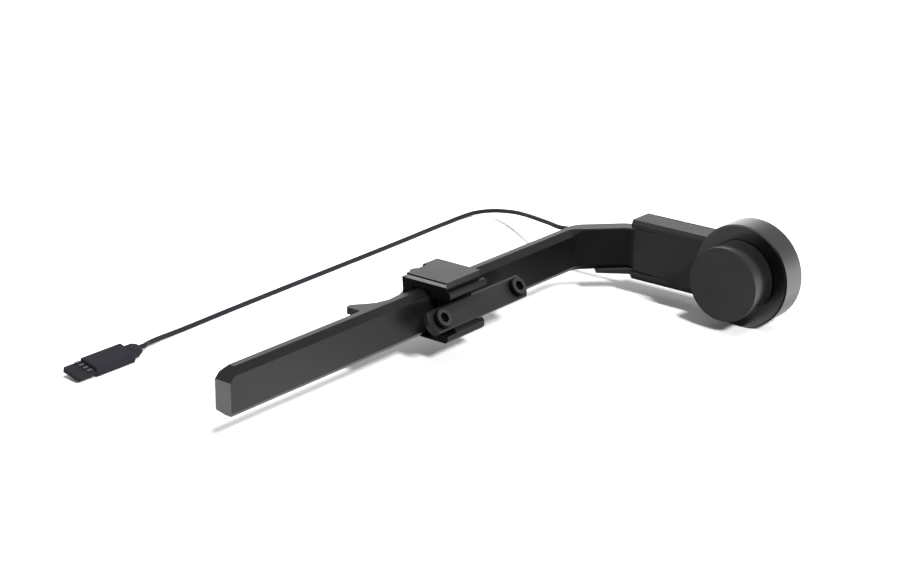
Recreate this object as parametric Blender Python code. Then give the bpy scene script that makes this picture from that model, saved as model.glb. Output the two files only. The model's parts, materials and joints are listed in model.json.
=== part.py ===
"""A hand wheel for pulling focus, on a bent bar that slides through a cam clamp.

The drawing frame has the wheel's axis on Y, with the wheel's fixed front face at y = 0 and its knob
towards -Y. The bar's long arm runs along Y at -X. Everything hangs on one empty, which moves the
drawing frame so that the origin is under the middle of the assembly, on the floor.
Lengths are in metres.
"""

import math

import bmesh
import bpy
from mathutils import Matrix, Vector

# General clearances and counts
FIT_GAP = 0.0003
OVERRUN = 0.0020
LARGE_ROUND = 48
MIDDLE_ROUND = 28
SMALL_ROUND = 16
ARC_STEPS = 8

# Bar: an extruded flat bar with chamfered long edges and two half bends at its elbow
BAR_HEIGHT = 0.0160
BAR_THICKNESS = 0.0066
BAR_CHAMFER = 0.0021
BAR_FREE_END = 0.1907
BAR_SCREW_SHARES = ((0.22, 0.26), (0.62, -0.26))
ELBOW_LEG = 0.0155
ELBOW_RADIUS = 0.0090
BAR_SEAT_CHAMFER = 0.0004
BAR_RUN_OUT_STEPS = 3
HALF_BEND = 45.0
BAR_TOP_NOSE = 0.0040
BAR_BOTTOM_NOSE = 0.0020

# Fixed round housing behind the knob
DISC_RADIUS = 0.01875
DISC_DEPTH = 0.0110
DISC_WALL = 0.0020
DISC_FACE = 0.0022
DISC_EDGE = 0.0005
HUB_RADIUS = 0.0072
HUB_FRONT = 0.0076
HUB_SHOULDER = 0.0006
DISC_COVER_THICKNESS = 0.0010

# Knob and its shaft
KNOB_STEP = 0.00535
KNOB_FRONT = 0.0116
KNOB_GAP = 0.0004
KNOB_WALL = 0.0020
KNOB_FACE = 0.0021
KNOB_EDGE = 0.0004
CAP_STEP = 0.0009
CAP_THICKNESS = 0.0008
SHAFT_RADIUS = 0.0030
SHAFT_BEHIND_HUB = 0.0010
SENSOR_ROOM = 0.0057
SHAFT_GROOVE_DEPTH = 0.0006
CIRCLIP_RADIUS = 0.0043
CIRCLIP_THICKNESS = 0.0005
MAGNET_THICKNESS = 0.0012
BEARING_WIDTH = 0.0025
BEARING_RADIUS = 0.0052
DRAG_RING_STEP = 0.0024
DRAG_RING_THICKNESS = 0.0012

# Turning sensor behind the shaft
SENSOR_BOARD_STEP = 0.00655
BOARD_THICKNESS = 0.0008
CHIP_SIDE = 0.0050
CHIP_THICKNESS = 0.0006
POST_RADIUS = 0.0014
POST_STEP = 0.0020
COVER_POST_RADIUS = 0.0017
COVER_POST_STEP = 0.00355
COVER_POST_ANGLES = (60.0, -60.0, 140.0)
BOARD_POST_ANGLE = 50.0

# Box between the bar and the round housing
BOX_OVER_BAR = 0.0067
BOX_BEHIND_BAR = 0.0044
BOX_LENGTH = 0.02745
BOX_OVERLAP = 0.00675
BAR_END_GAP = 0.00825
BAR_BEYOND_BOX = 0.0178
SADDLE_LENGTH = 0.0085
SADDLE_WIDTH = 0.0050
SADDLE_HEIGHT = 0.0016
SADDLE_TIP_HEIGHT = 0.0003
BOX_WALL = 0.0016
BOX_COVER_THICKNESS = 0.0010
BOX_BEVEL_DEPTH = 0.0008
BOX_BEVEL_HEIGHT = 0.0015
BOX_PARTITION = 0.0008
BOX_BOSS_RADIUS = 0.0014
POCKET_MARGIN = 0.0024
BOARD_SCREW_SHARE = 0.36
HOUSING_SCREW_HEIGHT = 0.0030
HOUSING_SCREW_Y = 0.0038

# Interface board in the box
INTERFACE_WIDTH = 0.0036
INTERFACE_HEIGHT = 0.0150
INTERFACE_FRONT = 0.0052
HEADER_DEPTH = 0.0012
HEADER_HEIGHT = 0.0060
HEADER_WIDTH = 0.0022

# Small screws: shank radius, head radius, head height, hole radius
SMALL_SHANK = 0.0007
SMALL_HEAD = 0.0013
SMALL_HEAD_HEIGHT = 0.0006
SMALL_HOLE = 0.0010
SMALL_SCREW_LENGTH = 0.0030
KNOB_SCREW_SHANK = 0.0010
KNOB_SCREW_HEAD = 0.0022
KNOB_SCREW_LENGTH = 0.0050

# Clamp that holds the bar
CLAMP_NEAR = 0.0986
CLAMP_LENGTH = 0.0178
CLAMP_TOP = 0.0125
CLAMP_BOTTOM = 0.0089
CLAMP_BEFORE_BAR = 0.0115
CLAMP_BEHIND_BAR = 0.0062
CLAMP_EDGE = 0.0006
CLAMP_NOTCH_DEPTH = 0.0021
CLAMP_NOTCH_LENGTH = 0.0106
CLAMP_BLOCK_LOW = 0.0102
JAW_EXTRA = 0.0018
BEAD_STEP = 0.0003
BEAD_Z = 0.0079
BEAD_RADIUS = 0.0014
LIP_STEP = 0.0006
LIP_TOP = 0.0054
LIP_EDGE = 0.0005
LOWER_LIP_CHAMFER = 0.0010
SCREW_ROOM_LENGTH = 0.0048
SCREW_ROOM_HALF = 0.0062
LINER_THICKNESS = 0.0008
LINER_HEIGHT = 0.0110
LINER_LENGTH = 0.0125

# Mounting plate on the clamp, with two captive screws
PLATE_TILT = math.radians(36.0)
PLATE_STEP = 0.00038
PLATE_REACH = 0.0179
PLATE_Z = 0.0004
PLATE_THICKNESS = 0.0028
PLATE_HEIGHT = 0.00835
PLATE_END_RADIUS = 0.0055
PLATE_TOP_EDGE = 0.0008
PLATE_EDGE = 0.0004
MOUNT_SCREW_PITCH = 0.0405
MOUNT_HEAD_RADIUS = 0.0034
MOUNT_HEAD_HEIGHT = 0.0021
MOUNT_HEAD_EDGE = 0.0004
MOUNT_SHANK_RADIUS = 0.0020
MOUNT_SCREW_LENGTH = 0.0044
HEX_RADIUS = 0.0018
HEX_DEPTH = 0.0015
CLIP_RADIUS = 0.0031
CLIP_THICKNESS = 0.0007
PLATE_SCREW_PITCH = 0.0072
PLATE_SCREW_REACH = 0.0112
PLATE_SCREW_Z = 0.0015
PLATE_SCREW_SHANK = 0.0009
PLATE_SCREW_HEAD = 0.0018
PLATE_SCREW_HEAD_HEIGHT = 0.0009
PLATE_SCREW_LENGTH = 0.0058

# Cam lever, its pin and the shoe that it presses on the bar
PIN_BEHIND_CLAMP = 0.0056
PIN_REACH = 0.0126
PIN_RADIUS = 0.0015
PIN_HEAD_RADIUS = 0.0026
PIN_HEAD_HEIGHT = 0.0008
CAM_RADIUS = 0.0050
CAM_ECCENTRICITY = 0.0009
LEVER_TOP = 0.0047
LEVER_HEIGHT = 0.0077
LEVER_EDGE = 0.0003
LEVER_UNDERCUT = 0.0022
LEVER_NECK = 0.0040
LEVER_TIP_OUT = 0.0100
LEVER_BEYOND_CLAMP = 0.0222
LEVER_FLARE_SHARE = 0.52
LEVER_OUTER_SHARES = ((-0.32, 0.75, 0.0), (0.0, -0.10, 0.0), (0.12, 0.0, 0.55), (-0.18, 0.0, 1.0),
                      (-0.62, 0.0, 1.25))
LEVER_TIP_SHARE = 2.2
LEVER_ROOT_SHARE = 0.35
UNDERCUT_START_SHARE = 0.55
UNDERCUT_STEP_SHARE = 1.6
LEVER_BAR_GAP = 0.0007
EAR_THICKNESS = 0.0024
EAR_RADIUS = 0.0034
CAM_START = -30.0
EAR_ROOT_SHARE = 1.5
SHOE_LENGTH = 0.0076
SHOE_WINDOW_GAP = 0.0004

# Cable with its strain relief, and the plug at its end
CORD_DIAMETER = 0.0017
CORD_EXIT_INSET = 0.0025
CORD_STEP_DIAMETERS = 3.0
BOOT_RADIUS = 0.0016
BOOT_TIP_RADIUS = 0.0012
BOOT_LENGTH = 0.0085
BOOT_NECK_RADIUS = 0.0009
BOOT_NECK_LENGTH = 0.0030
LEAD_DIAMETER = 0.0008
PLUG_ROLL = math.radians(12.4)
PLUG_YAW = math.radians(0.2)
PLUG_REAR = (-0.1419, -0.1546)
PLUG_WIDTH = 0.0089
PLUG_THICKNESS = 0.0040
PLUG_BODY_LENGTH = 0.0175
PLUG_BEVEL = 0.0008
PLUG_COLLAR_LENGTH = 0.0046
PLUG_COLLAR_WIDTH = 0.0058
PLUG_COLLAR_THICKNESS = 0.0032
PLUG_CORD_OFFSET = 0.0004
COLLAR_WIDTH_SHARE = 0.72
COLLAR_THICKNESS_SHARE = 0.80
COLLAR_TAPER_SHARE = 0.40
TONGUE_LENGTH = 0.0075
TONGUE_WIDTH = 0.0082
TONGUE_THICKNESS = 0.0014
TONGUE_DROP = 0.0001
CONTACT_PITCH = 0.0020
CONTACT_SHIFT = 0.0004
CONTACT_WIDTH = 0.0010
CONTACT_LENGTH = 0.0022
CONTACT_HEIGHT = 0.0004
CONTACT_COUNT = 4

# The cable's route from its strain relief to its plug as (x, y, share of its drop), chosen by hand
CORD_ROUTE = [
    (-0.0660, 0.0084, 0.011),
    (-0.0735, 0.0086, 0.039),
    (-0.0804, 0.0092, 0.084),
    (-0.0870, 0.0113, 0.152),
    (-0.0941, 0.0158, 0.225),
    (-0.1025, 0.0214, 0.326),
    (-0.1143, 0.0288, 0.461),
    (-0.1256, 0.0354, 0.601),
    (-0.1340, 0.0393, 0.719),
    (-0.1405, 0.0415, 0.809),
    (-0.1465, 0.0421, 0.893),
    (-0.1510, 0.0394, 0.955),
    (-0.1527, 0.0334, 0.989),
    (-0.1529, 0.0248, 1.000),
    (-0.1526, 0.0154, 1.000),
    (-0.1517, -0.0036, 1.000),
    (-0.1508, -0.0284, 1.000),
    (-0.1500, -0.0552, 1.000),
    (-0.1492, -0.0804, 1.000),
    (-0.1483, -0.1046, 1.000),
    (-0.1470, -0.1293, 0.994),
    (-0.1456, -0.1411, 0.955),
    (-0.1439, -0.1490, 0.921),
]

# Sizes that follow from the ones above
KNOB_RADIUS = DISC_RADIUS - KNOB_STEP
CAP_RADIUS = KNOB_RADIUS - CAP_STEP
DRAG_RING_RADIUS = KNOB_RADIUS - DRAG_RING_STEP
SHAFT_REAR = DISC_DEPTH - SENSOR_ROOM
HUB_REAR = SHAFT_REAR - SHAFT_BEHIND_HUB
SENSOR_BOARD_RADIUS = DISC_RADIUS - SENSOR_BOARD_STEP
POST_CIRCLE = SENSOR_BOARD_RADIUS - POST_STEP
COVER_POST_CIRCLE = DISC_RADIUS - COVER_POST_STEP
BOX_HEIGHT = BAR_HEIGHT + BOX_OVER_BAR
BOX_DEPTH = BAR_THICKNESS + BOX_BEHIND_BAR
BOX_LEFT = DISC_RADIUS + BOX_LENGTH
BOX_RIGHT = DISC_RADIUS - BOX_OVERLAP
BAR_INNER_END = DISC_RADIUS + BAR_END_GAP
BAR_OFFSET = BOX_LEFT + BAR_BEYOND_BOX
CLAMP_FRONT = BAR_OFFSET - CLAMP_BEFORE_BAR
CLAMP_REAR = BAR_OFFSET + CLAMP_BEHIND_BAR
BEAD_X = CLAMP_FRONT - BEAD_STEP
LIP_FRONT = CLAMP_FRONT - LIP_STEP
PLATE_X = CLAMP_FRONT + PLATE_STEP
PLATE_Y = CLAMP_NEAR - PLATE_REACH
PLATE_SCREW_MIDDLE = CLAMP_NEAR - PLATE_SCREW_REACH
PIN_X = CLAMP_REAR + PIN_BEHIND_CLAMP
PIN_Y = CLAMP_NEAR - PIN_REACH
LEVER_TIP_Y = CLAMP_NEAR + LEVER_BEYOND_CLAMP
CORD_EXIT_Y = BOX_DEPTH - CORD_EXIT_INSET
CORD_DROP = DISC_RADIUS - CORD_DIAMETER / 2 - FIT_GAP / 3
BAR_INNER = -BAR_OFFSET + BAR_THICKNESS / 2
BAR_OUTER = -BAR_OFFSET - BAR_THICKNESS / 2
SLOT_HALF = BAR_HEIGHT / 2 + FIT_GAP
SLOT_FLOOR = BAR_THICKNESS + FIT_GAP
SLOT_END = -BAR_INNER_END + FIT_GAP
BOX_SPLIT = BOX_DEPTH - BOX_COVER_THICKNESS - FIT_GAP
BOX_SEAT_RADIUS = DISC_RADIUS + FIT_GAP
CLAMP_FAR = -CLAMP_NEAR + CLAMP_LENGTH
CLAMP_MIDDLE = -CLAMP_NEAR + CLAMP_LENGTH / 2
CHANNEL_FRONT = BAR_INNER + LINER_THICKNESS + 2 * FIT_GAP
CHANNEL_REAR = BAR_OUTER - FIT_GAP
JAW_FAR = CLAMP_FAR + JAW_EXTRA
MOUNT_SCREW_PLACES = (-PLATE_Y + MOUNT_SCREW_PITCH / 2, -PLATE_Y - MOUNT_SCREW_PITCH / 2)
LEVER_BOTTOM = LEVER_TOP - LEVER_HEIGHT
CAM_X = -PIN_X + CAM_ECCENTRICITY
CAM_FRONT = CAM_X + CAM_RADIUS
LEFT_REACH = CAM_X - CAM_RADIUS
BEARING_FRONT_Y = -HUB_FRONT + FIT_GAP
BEARING_REAR_Y = HUB_REAR - FIT_GAP - BEARING_WIDTH
SENSOR_BOARD_FRONT = SHAFT_REAR + 3 * FIT_GAP + MAGNET_THICKNESS + CHIP_THICKNESS
PLUG_REACH = (PLUG_WIDTH / 2 - PLUG_BEVEL) * math.sin(PLUG_ROLL) + PLUG_THICKNESS / 2 * math.cos(PLUG_ROLL)
PLUG_Z = -DISC_RADIUS + PLUG_REACH + FIT_GAP / 6
UNIT_SHIFT = Vector((
    -(LEFT_REACH + DISC_RADIUS) / 2,
    (BAR_FREE_END - DISC_DEPTH) / 2,
    DISC_RADIUS,
))


def clear_scene():
    """Remove whatever the file holds, so the script can be run again."""
    for thing in list(bpy.data.objects):
        bpy.data.objects.remove(thing, do_unlink=True)


# Materials

def finish(name, colour, roughness, metallic):
    """A Principled material of one finish."""
    material = bpy.data.materials.new(name)
    material.use_nodes = True
    shader = material.node_tree.nodes["Principled BSDF"]
    shader.inputs["Base Color"].default_value = (*colour, 1.0)
    shader.inputs["Roughness"].default_value = roughness
    shader.inputs["Metallic"].default_value = metallic
    material.diffuse_color = (*colour, 1.0)
    return material


FINISHES = {
    "black_anodised": ((0.050, 0.050, 0.052), 0.45, 0.7),
    "turned_aluminium": ((0.075, 0.075, 0.080), 0.32, 0.9),
    "matte_black": ((0.036, 0.036, 0.038), 0.60, 0.0),
    "black_plastic": ((0.030, 0.030, 0.031), 0.50, 0.0),
    "cable_rubber": ((0.035, 0.033, 0.042), 0.55, 0.0),
    "plug_plastic": ((0.042, 0.040, 0.048), 0.50, 0.0),
    "black_screw": ((0.045, 0.045, 0.047), 0.35, 0.8),
    "bright_steel": ((0.55, 0.55, 0.56), 0.28, 1.0),
    "nickel_contact": ((0.45, 0.44, 0.42), 0.25, 1.0),
    "board_green": ((0.020, 0.110, 0.055), 0.50, 0.0),
    "felt_grey": ((0.120, 0.120, 0.115), 0.90, 0.0),
    "acetal_white": ((0.62, 0.62, 0.60), 0.45, 0.0),
}


# Shapes

def swap(axis, a, b, along):
    """Place a flat point (a, b) at a distance along the axis."""
    if axis == "X":
        return (along, a, b)
    if axis == "Y":
        return (a, along, b)
    return (a, b, along)


def mesh_ring(bm, axis, points, along):
    """One loop of vertices."""
    return [bm.verts.new(swap(axis, a, b, along)) for a, b in points]


def mesh_wall(bm, first, second):
    """Quads between two loops of the same count."""
    count = len(first)
    for index in range(count):
        following = (index + 1) % count
        bm.faces.new((first[index], first[following], second[following], second[index]))


def prism(bm, axis, layers):
    """A solid through layers of (points, place along the axis), flat at both ends."""
    rings = [mesh_ring(bm, axis, points, along) for points, along in layers]
    for first, second in zip(rings, rings[1:]):
        mesh_wall(bm, first, second)
    bm.faces.new(rings[0])
    bm.faces.new(rings[-1])
    return rings


def block(bm, low, high):
    """A plain block from its lowest to its highest corner."""
    outline = [(low[0], low[1]), (high[0], low[1]), (high[0], high[1]), (low[0], high[1])]
    prism(bm, "Z", [(outline, low[2]), (outline, high[2])])


def round_points(radius, count, centre=(0.0, 0.0), start=0.0):
    """Points on a full circle."""
    return [(centre[0] + radius * math.cos(start + 2 * math.pi * step / count),
             centre[1] + radius * math.sin(start + 2 * math.pi * step / count)) for step in range(count)]


def rod(bm, axis, radius, low, high, centre=(0.0, 0.0), count=SMALL_ROUND):
    """A plain round bar along an axis."""
    outline = round_points(radius, count, centre)
    prism(bm, axis, [(outline, low), (outline, high)])


def turned(bm, axis, profile, count, centre=(0.0, 0.0)):
    """A turned solid from a closed profile of (place along the axis, radius)."""
    loops = []
    for along, radius in profile:
        if radius == 0:
            loops.append([bm.verts.new(swap(axis, centre[0], centre[1], along))])
        else:
            loops.append(mesh_ring(bm, axis, round_points(radius, count, centre), along))
    for index, loop in enumerate(loops):
        other = loops[(index + 1) % len(loops)]
        if len(loop) > 1 and len(other) > 1:
            mesh_wall(bm, loop, other)
        elif len(loop) > 1 or len(other) > 1:
            pole, ring = (loop[0], other) if len(loop) == 1 else (other[0], loop)
            for step in range(count):
                bm.faces.new((pole, ring[step], ring[(step + 1) % count]))


def tube_ring(bm, axis, inner, outer, low, high, count, edge=0.0):
    """A ring of rectangular section, with its outer corners eased by edge."""
    profile = [(low, inner), (low, outer - edge)]
    if edge:
        profile += [(low + edge, outer), (high - edge, outer)]
    profile += [(high, outer - edge), (high, inner)]
    turned(bm, axis, profile, count)


def arc(centre, radius, first, last, steps=ARC_STEPS):
    """Points on an arc, angles in degrees."""
    return [(centre[0] + radius * math.cos(math.radians(first + (last - first) * step / steps)),
             centre[1] + radius * math.sin(math.radians(first + (last - first) * step / steps)))
            for step in range(steps + 1)]


def inset(points, distance):
    """The outline drawn in by a distance, its points given anticlockwise."""
    moved = []
    count = len(points)
    for index, here in enumerate(points):
        before = Vector(points[index - 1])
        after = Vector(points[(index + 1) % count])
        middle = Vector(here)
        first = (middle - before).normalized()
        second = (after - middle).normalized()
        normal_one = Vector((-first.y, first.x))
        normal_two = Vector((-second.y, second.x))
        spread = 1 + normal_one.dot(normal_two)
        shifted = middle + (normal_one + normal_two) * (distance / spread)
        moved.append((shifted.x, shifted.y))
    return moved


# Objects

UNIT = {}


def new_object(name, bm, material, location=(0.0, 0.0, 0.0), parent=None):
    """Close a bmesh into an object of the assembly."""
    bmesh.ops.recalc_face_normals(bm, faces=bm.faces)
    mesh = bpy.data.meshes.new(name)
    bm.to_mesh(mesh)
    bm.free()
    thing = bpy.data.objects.new(name, mesh)
    thing.location = location
    thing.parent = parent or UNIT["origin"]
    bpy.context.scene.collection.objects.link(thing)
    if material:
        mesh.materials.append(material)
    mesh.shade_smooth()
    mesh.set_sharp_from_angle(angle=math.radians(30.0))
    return thing


def piece(name, build, material_name, location=(0.0, 0.0, 0.0), parent=None):
    """Build one sub-part with its own material. The builder draws about the location."""
    colour, roughness, metallic = FINISHES[material_name]
    bm = bmesh.new()
    build(bm)
    offset = Vector(location)
    bmesh.ops.translate(bm, verts=bm.verts, vec=-offset)
    material = finish(name + "_" + material_name, colour, roughness, metallic)
    return new_object(name, bm, material, offset, parent)


def cutter(target, build, operation="DIFFERENCE"):
    """Cut or join a drawn shape with a Boolean that stays on the target."""
    bm = bmesh.new()
    build(bm)
    bmesh.ops.translate(bm, verts=bm.verts, vec=-target.location)
    name = target.name + "_" + operation.lower() + "_" + str(len(target.modifiers))
    tool = new_object(name, bm, None, target.location, target.parent)
    tool.hide_render = True
    tool.display_type = "WIRE"
    modifier = target.modifiers.new(operation.title(), "BOOLEAN")
    modifier.operation = operation
    modifier.solver = "EXACT"
    modifier.object = tool
    return tool


def screw(axis, place, face, towards, shank, head, head_height, length):
    """A plain headed screw. face is the underside of its head, towards is +1 or -1 for its tip."""
    def build(bm):
        top = face - towards * head_height
        tip = face + towards * length
        profile = [(top, 0.0), (top, head), (face, head), (face, shank), (tip, shank), (tip, 0.0)]
        turned(bm, axis, profile, SMALL_ROUND, place)
    return build


def small_screws(name, axis, places, face, towards, head_height, length, material_name):
    """One small screw at each place, each its own piece."""
    for index, place in enumerate(places):
        build = screw(axis, place, face, towards, SMALL_SHANK, SMALL_HEAD, head_height, length)
        piece(name + "_" + str(index + 1), build, material_name)


def head_hole(bm, place, face):
    """A through hole with a seat for a small screw's head, from the rear face given."""
    seat = face - SMALL_HEAD_HEIGHT
    wide = SMALL_HEAD + FIT_GAP
    low = face - 2 * OVERRUN
    high = face + OVERRUN
    turned(bm, "Y", [(low, 0.0), (low, SMALL_HOLE), (seat, SMALL_HOLE), (seat, wide), (high, wide),
                     (high, 0.0)],
           SMALL_ROUND, place)


# Bar

def bar_path():
    """The bar's centre line as (place, heading, top chamfer, bottom chamfer), from the free end inwards."""
    middle = BAR_THICKNESS / 2
    near_corner = Vector((-BAR_OFFSET, middle - ELBOW_LEG))
    far_corner = Vector((-BAR_OFFSET + ELBOW_LEG, middle))
    tangent = ELBOW_RADIUS * math.tan(math.radians(HALF_BEND / 2))
    bend_one = near_corner + Vector((ELBOW_RADIUS, -tangent))
    bend_two = far_corner + Vector((tangent, -ELBOW_RADIUS))
    lost = BAR_SEAT_CHAMFER - BAR_CHAMFER
    points = [(Vector((-BAR_OFFSET, -BAR_FREE_END)), 90.0, BAR_CHAMFER, BAR_CHAMFER)]
    for step in range(ARC_STEPS + 1):
        turn = HALF_BEND * step / ARC_STEPS
        around = math.radians(180.0 - turn)
        place = bend_one + ELBOW_RADIUS * Vector((math.cos(around), math.sin(around)))
        points.append((place, 90.0 - turn, BAR_CHAMFER + lost * step / ARC_STEPS, BAR_CHAMFER))
    for step in range(ARC_STEPS + 1):
        turn = HALF_BEND * (1 + step / ARC_STEPS)
        around = math.radians(180.0 - turn)
        run_out = max(0.0, (step - ARC_STEPS) / BAR_RUN_OUT_STEPS + 1.0)
        place = bend_two + ELBOW_RADIUS * Vector((math.cos(around), math.sin(around)))
        points.append((place, 90.0 - turn, BAR_SEAT_CHAMFER, BAR_CHAMFER + lost * run_out))
    points.append((Vector((-BAR_INNER_END, middle)), 0.0, BAR_SEAT_CHAMFER, BAR_SEAT_CHAMFER))
    return points


def bar_section(high, low):
    """The bar's section as (sideways, up), sideways to the right of its heading, from its two chamfers."""
    side = BAR_THICKNESS / 2
    top = BAR_HEIGHT / 2
    return [(side, -top + low), (side, top - high), (side - high, top), (-side + high, top),
            (-side, top - high), (-side, -top + low), (-side + low, -top), (side - low, -top)]


def build_bar(bm):
    """The bar swept along its path."""
    loops = []
    for place, heading, high, low in bar_path():
        angle = math.radians(heading)
        sideways = Vector((math.sin(angle), -math.cos(angle)))
        loop = []
        for across, up in bar_section(high, low):
            spot = place + sideways * across
            loop.append(bm.verts.new((spot.x, spot.y, up)))
        loops.append(loop)
    for first, second in zip(loops, loops[1:]):
        mesh_wall(bm, first, second)
    bm.faces.new(loops[0])
    bm.faces.new(loops[-1])


def bar_nose(bm):
    """Wedges that cut the free end's top and bottom corners."""
    end = -BAR_FREE_END
    half = BAR_HEIGHT / 2
    low = BAR_OUTER - OVERRUN
    high = BAR_INNER + OVERRUN
    for size, sign in ((BAR_TOP_NOSE, 1), (BAR_BOTTOM_NOSE, -1)):
        wedge = [(end - OVERRUN, sign * (half - size - OVERRUN)),
                 (end + size + OVERRUN, sign * (half + OVERRUN)),
                 (end - OVERRUN, sign * (half + OVERRUN))]
        prism(bm, "X", [(wedge, low), (wedge, high)])


def bar_screw_places():
    """Where two screws hold the bar in the box, as (x, z)."""
    reach = BOX_LEFT - BAR_INNER_END
    return [(-BAR_INNER_END - reach * share, height * BAR_HEIGHT) for share, height in BAR_SCREW_SHARES]


def bar_screw_holes(bm):
    """Blind holes in the bar's back."""
    for place in bar_screw_places():
        rod(bm, "Y", SMALL_HOLE, BAR_THICKNESS - SMALL_SCREW_LENGTH, BAR_THICKNESS + OVERRUN, place)


def make_bar():
    bar = piece("bar", build_bar, "black_anodised")
    cutter(bar, bar_nose)
    cutter(bar, bar_screw_holes)


# Round housing

def cover_post_places():
    """Three posts for the rear cover's screws, as (x, z)."""
    return [(COVER_POST_CIRCLE * math.cos(math.radians(angle)),
             COVER_POST_CIRCLE * math.sin(math.radians(angle)))
            for angle in COVER_POST_ANGLES]


def board_post_places():
    """Two posts for the sensor board's screws, as (x, z)."""
    return [(POST_CIRCLE * sign * math.cos(math.radians(BOARD_POST_ANGLE)),
             POST_CIRCLE * sign * math.sin(math.radians(BOARD_POST_ANGLE)))
            for sign in (1, -1)]


def wire_place():
    """Where the sensor's lead crosses from the round housing to the box, as (y, z)."""
    return ((DISC_FACE + SENSOR_BOARD_FRONT) / 2, 0.0)


def build_disc(bm):
    """Front wall, rim and hub in one turning."""
    inner = BEARING_RADIUS + FIT_GAP
    shoulder = inner - HUB_SHOULDER
    step_front = BEARING_FRONT_Y + BEARING_WIDTH + FIT_GAP
    step_rear = BEARING_REAR_Y - FIT_GAP
    profile = [
        (-HUB_FRONT, inner), (-HUB_FRONT, HUB_RADIUS), (0.0, HUB_RADIUS), (0.0, DISC_RADIUS - DISC_EDGE),
        (DISC_EDGE, DISC_RADIUS), (DISC_DEPTH - DISC_EDGE, DISC_RADIUS),
        (DISC_DEPTH, DISC_RADIUS - DISC_EDGE),
        (DISC_DEPTH, DISC_RADIUS - DISC_WALL), (DISC_FACE, DISC_RADIUS - DISC_WALL), (DISC_FACE, HUB_RADIUS),
        (HUB_REAR, HUB_RADIUS), (HUB_REAR, inner), (step_rear, inner), (step_rear, shoulder),
        (step_front, shoulder), (step_front, inner),
    ]
    turned(bm, "Y", profile, LARGE_ROUND)


def disc_posts(bm):
    """Posts that rise from the front wall, joined to the housing."""
    cover_seat = DISC_DEPTH - DISC_COVER_THICKNESS - FIT_GAP
    for place in cover_post_places():
        rod(bm, "Y", COVER_POST_RADIUS, DISC_FACE / 2, cover_seat, place)
    for place in board_post_places():
        rod(bm, "Y", POST_RADIUS, DISC_FACE / 2, SENSOR_BOARD_FRONT - FIT_GAP, place)


def disc_holes(bm):
    """Screw holes in the posts, and the wire's hole through the rim."""
    cover_seat = DISC_DEPTH - DISC_COVER_THICKNESS
    for place in cover_post_places():
        rod(bm, "Y", SMALL_HOLE, cover_seat - SMALL_SCREW_LENGTH, cover_seat + OVERRUN, place)
    for place in board_post_places():
        rod(bm, "Y", SMALL_HOLE, SENSOR_BOARD_FRONT - SMALL_SCREW_LENGTH, SENSOR_BOARD_FRONT + OVERRUN, place)
    rod(bm, "X", SMALL_HOLE, -DISC_RADIUS - OVERRUN, -DISC_RADIUS + DISC_WALL + OVERRUN, wire_place())
    for place in housing_screw_places():
        rod(bm, "X", SMALL_HOLE, -DISC_RADIUS - OVERRUN, -DISC_RADIUS + DISC_WALL + OVERRUN, place)


def housing_screw_places():
    """The two screws between the box and the round housing, as (y, z)."""
    return [(HOUSING_SCREW_Y, sign * HOUSING_SCREW_HEIGHT) for sign in (1, -1)]


def build_disc_cover(bm):
    """The rear cover, let into the rim."""
    low = DISC_DEPTH - DISC_COVER_THICKNESS
    radius = DISC_RADIUS - DISC_WALL - FIT_GAP
    turned(bm, "Y", [(low, 0.0), (low, radius), (DISC_DEPTH - DISC_EDGE / 2, radius),
                     (DISC_DEPTH, radius - DISC_EDGE / 2), (DISC_DEPTH, 0.0)], LARGE_ROUND)


def disc_cover_holes(bm):
    """Holes and shallow head seats in the rear cover."""
    for place in cover_post_places():
        head_hole(bm, place, DISC_DEPTH)


def build_sensor_board(bm):
    """A round board behind the shaft."""
    rod(bm, "Y", SENSOR_BOARD_RADIUS, SENSOR_BOARD_FRONT, SENSOR_BOARD_FRONT + BOARD_THICKNESS,
        count=MIDDLE_ROUND)


def sensor_board_holes(bm):
    for place in board_post_places():
        rod(bm, "Y", SMALL_HOLE, SENSOR_BOARD_FRONT - OVERRUN, SENSOR_BOARD_FRONT + OVERRUN, place)


def build_chip(bm):
    """The sensor, between the magnet and its board."""
    high = SENSOR_BOARD_FRONT - FIT_GAP / 3
    half = CHIP_SIDE / 2
    block(bm, (-half, high - CHIP_THICKNESS, -half), (half, high, half))


def build_drag_ring(bm):
    """A felt ring round the hub, under the knob."""
    tube_ring(bm, "Y", HUB_RADIUS + FIT_GAP, DRAG_RING_RADIUS, -FIT_GAP - DRAG_RING_THICKNESS, -FIT_GAP,
              MIDDLE_ROUND)


def build_bearing(low):
    """A sealed bearing from its front face."""
    def build(bm):
        tube_ring(bm, "Y", SHAFT_RADIUS + FIT_GAP, BEARING_RADIUS, low, low + BEARING_WIDTH, MIDDLE_ROUND,
                  FIT_GAP)
    return build


def make_disc():
    disc = piece("wheel_housing", build_disc, "turned_aluminium")
    cutter(disc, disc_posts, "UNION")
    cutter(disc, disc_holes)
    cover = piece("wheel_rear_cover", build_disc_cover, "black_anodised")
    cutter(cover, disc_cover_holes)
    head = SMALL_HEAD_HEIGHT - FIT_GAP
    small_screws("wheel_cover_screw", "Y", cover_post_places(), DISC_DEPTH - head, -1, head,
                 SMALL_SCREW_LENGTH,
                 "black_screw")
    board = piece("sensor_board", build_sensor_board, "board_green")
    cutter(board, sensor_board_holes)
    face = SENSOR_BOARD_FRONT + BOARD_THICKNESS + FIT_GAP
    small_screws("sensor_board_screw", "Y", board_post_places(), face, -1, SMALL_HEAD_HEIGHT,
                 SMALL_SCREW_LENGTH,
                 "bright_steel")
    piece("sensor_chip", build_chip, "black_plastic")
    piece("drag_ring", build_drag_ring, "felt_grey")
    piece("front_bearing", build_bearing(BEARING_FRONT_Y), "bright_steel")
    piece("rear_bearing", build_bearing(BEARING_REAR_Y), "bright_steel")


# Knob

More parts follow.
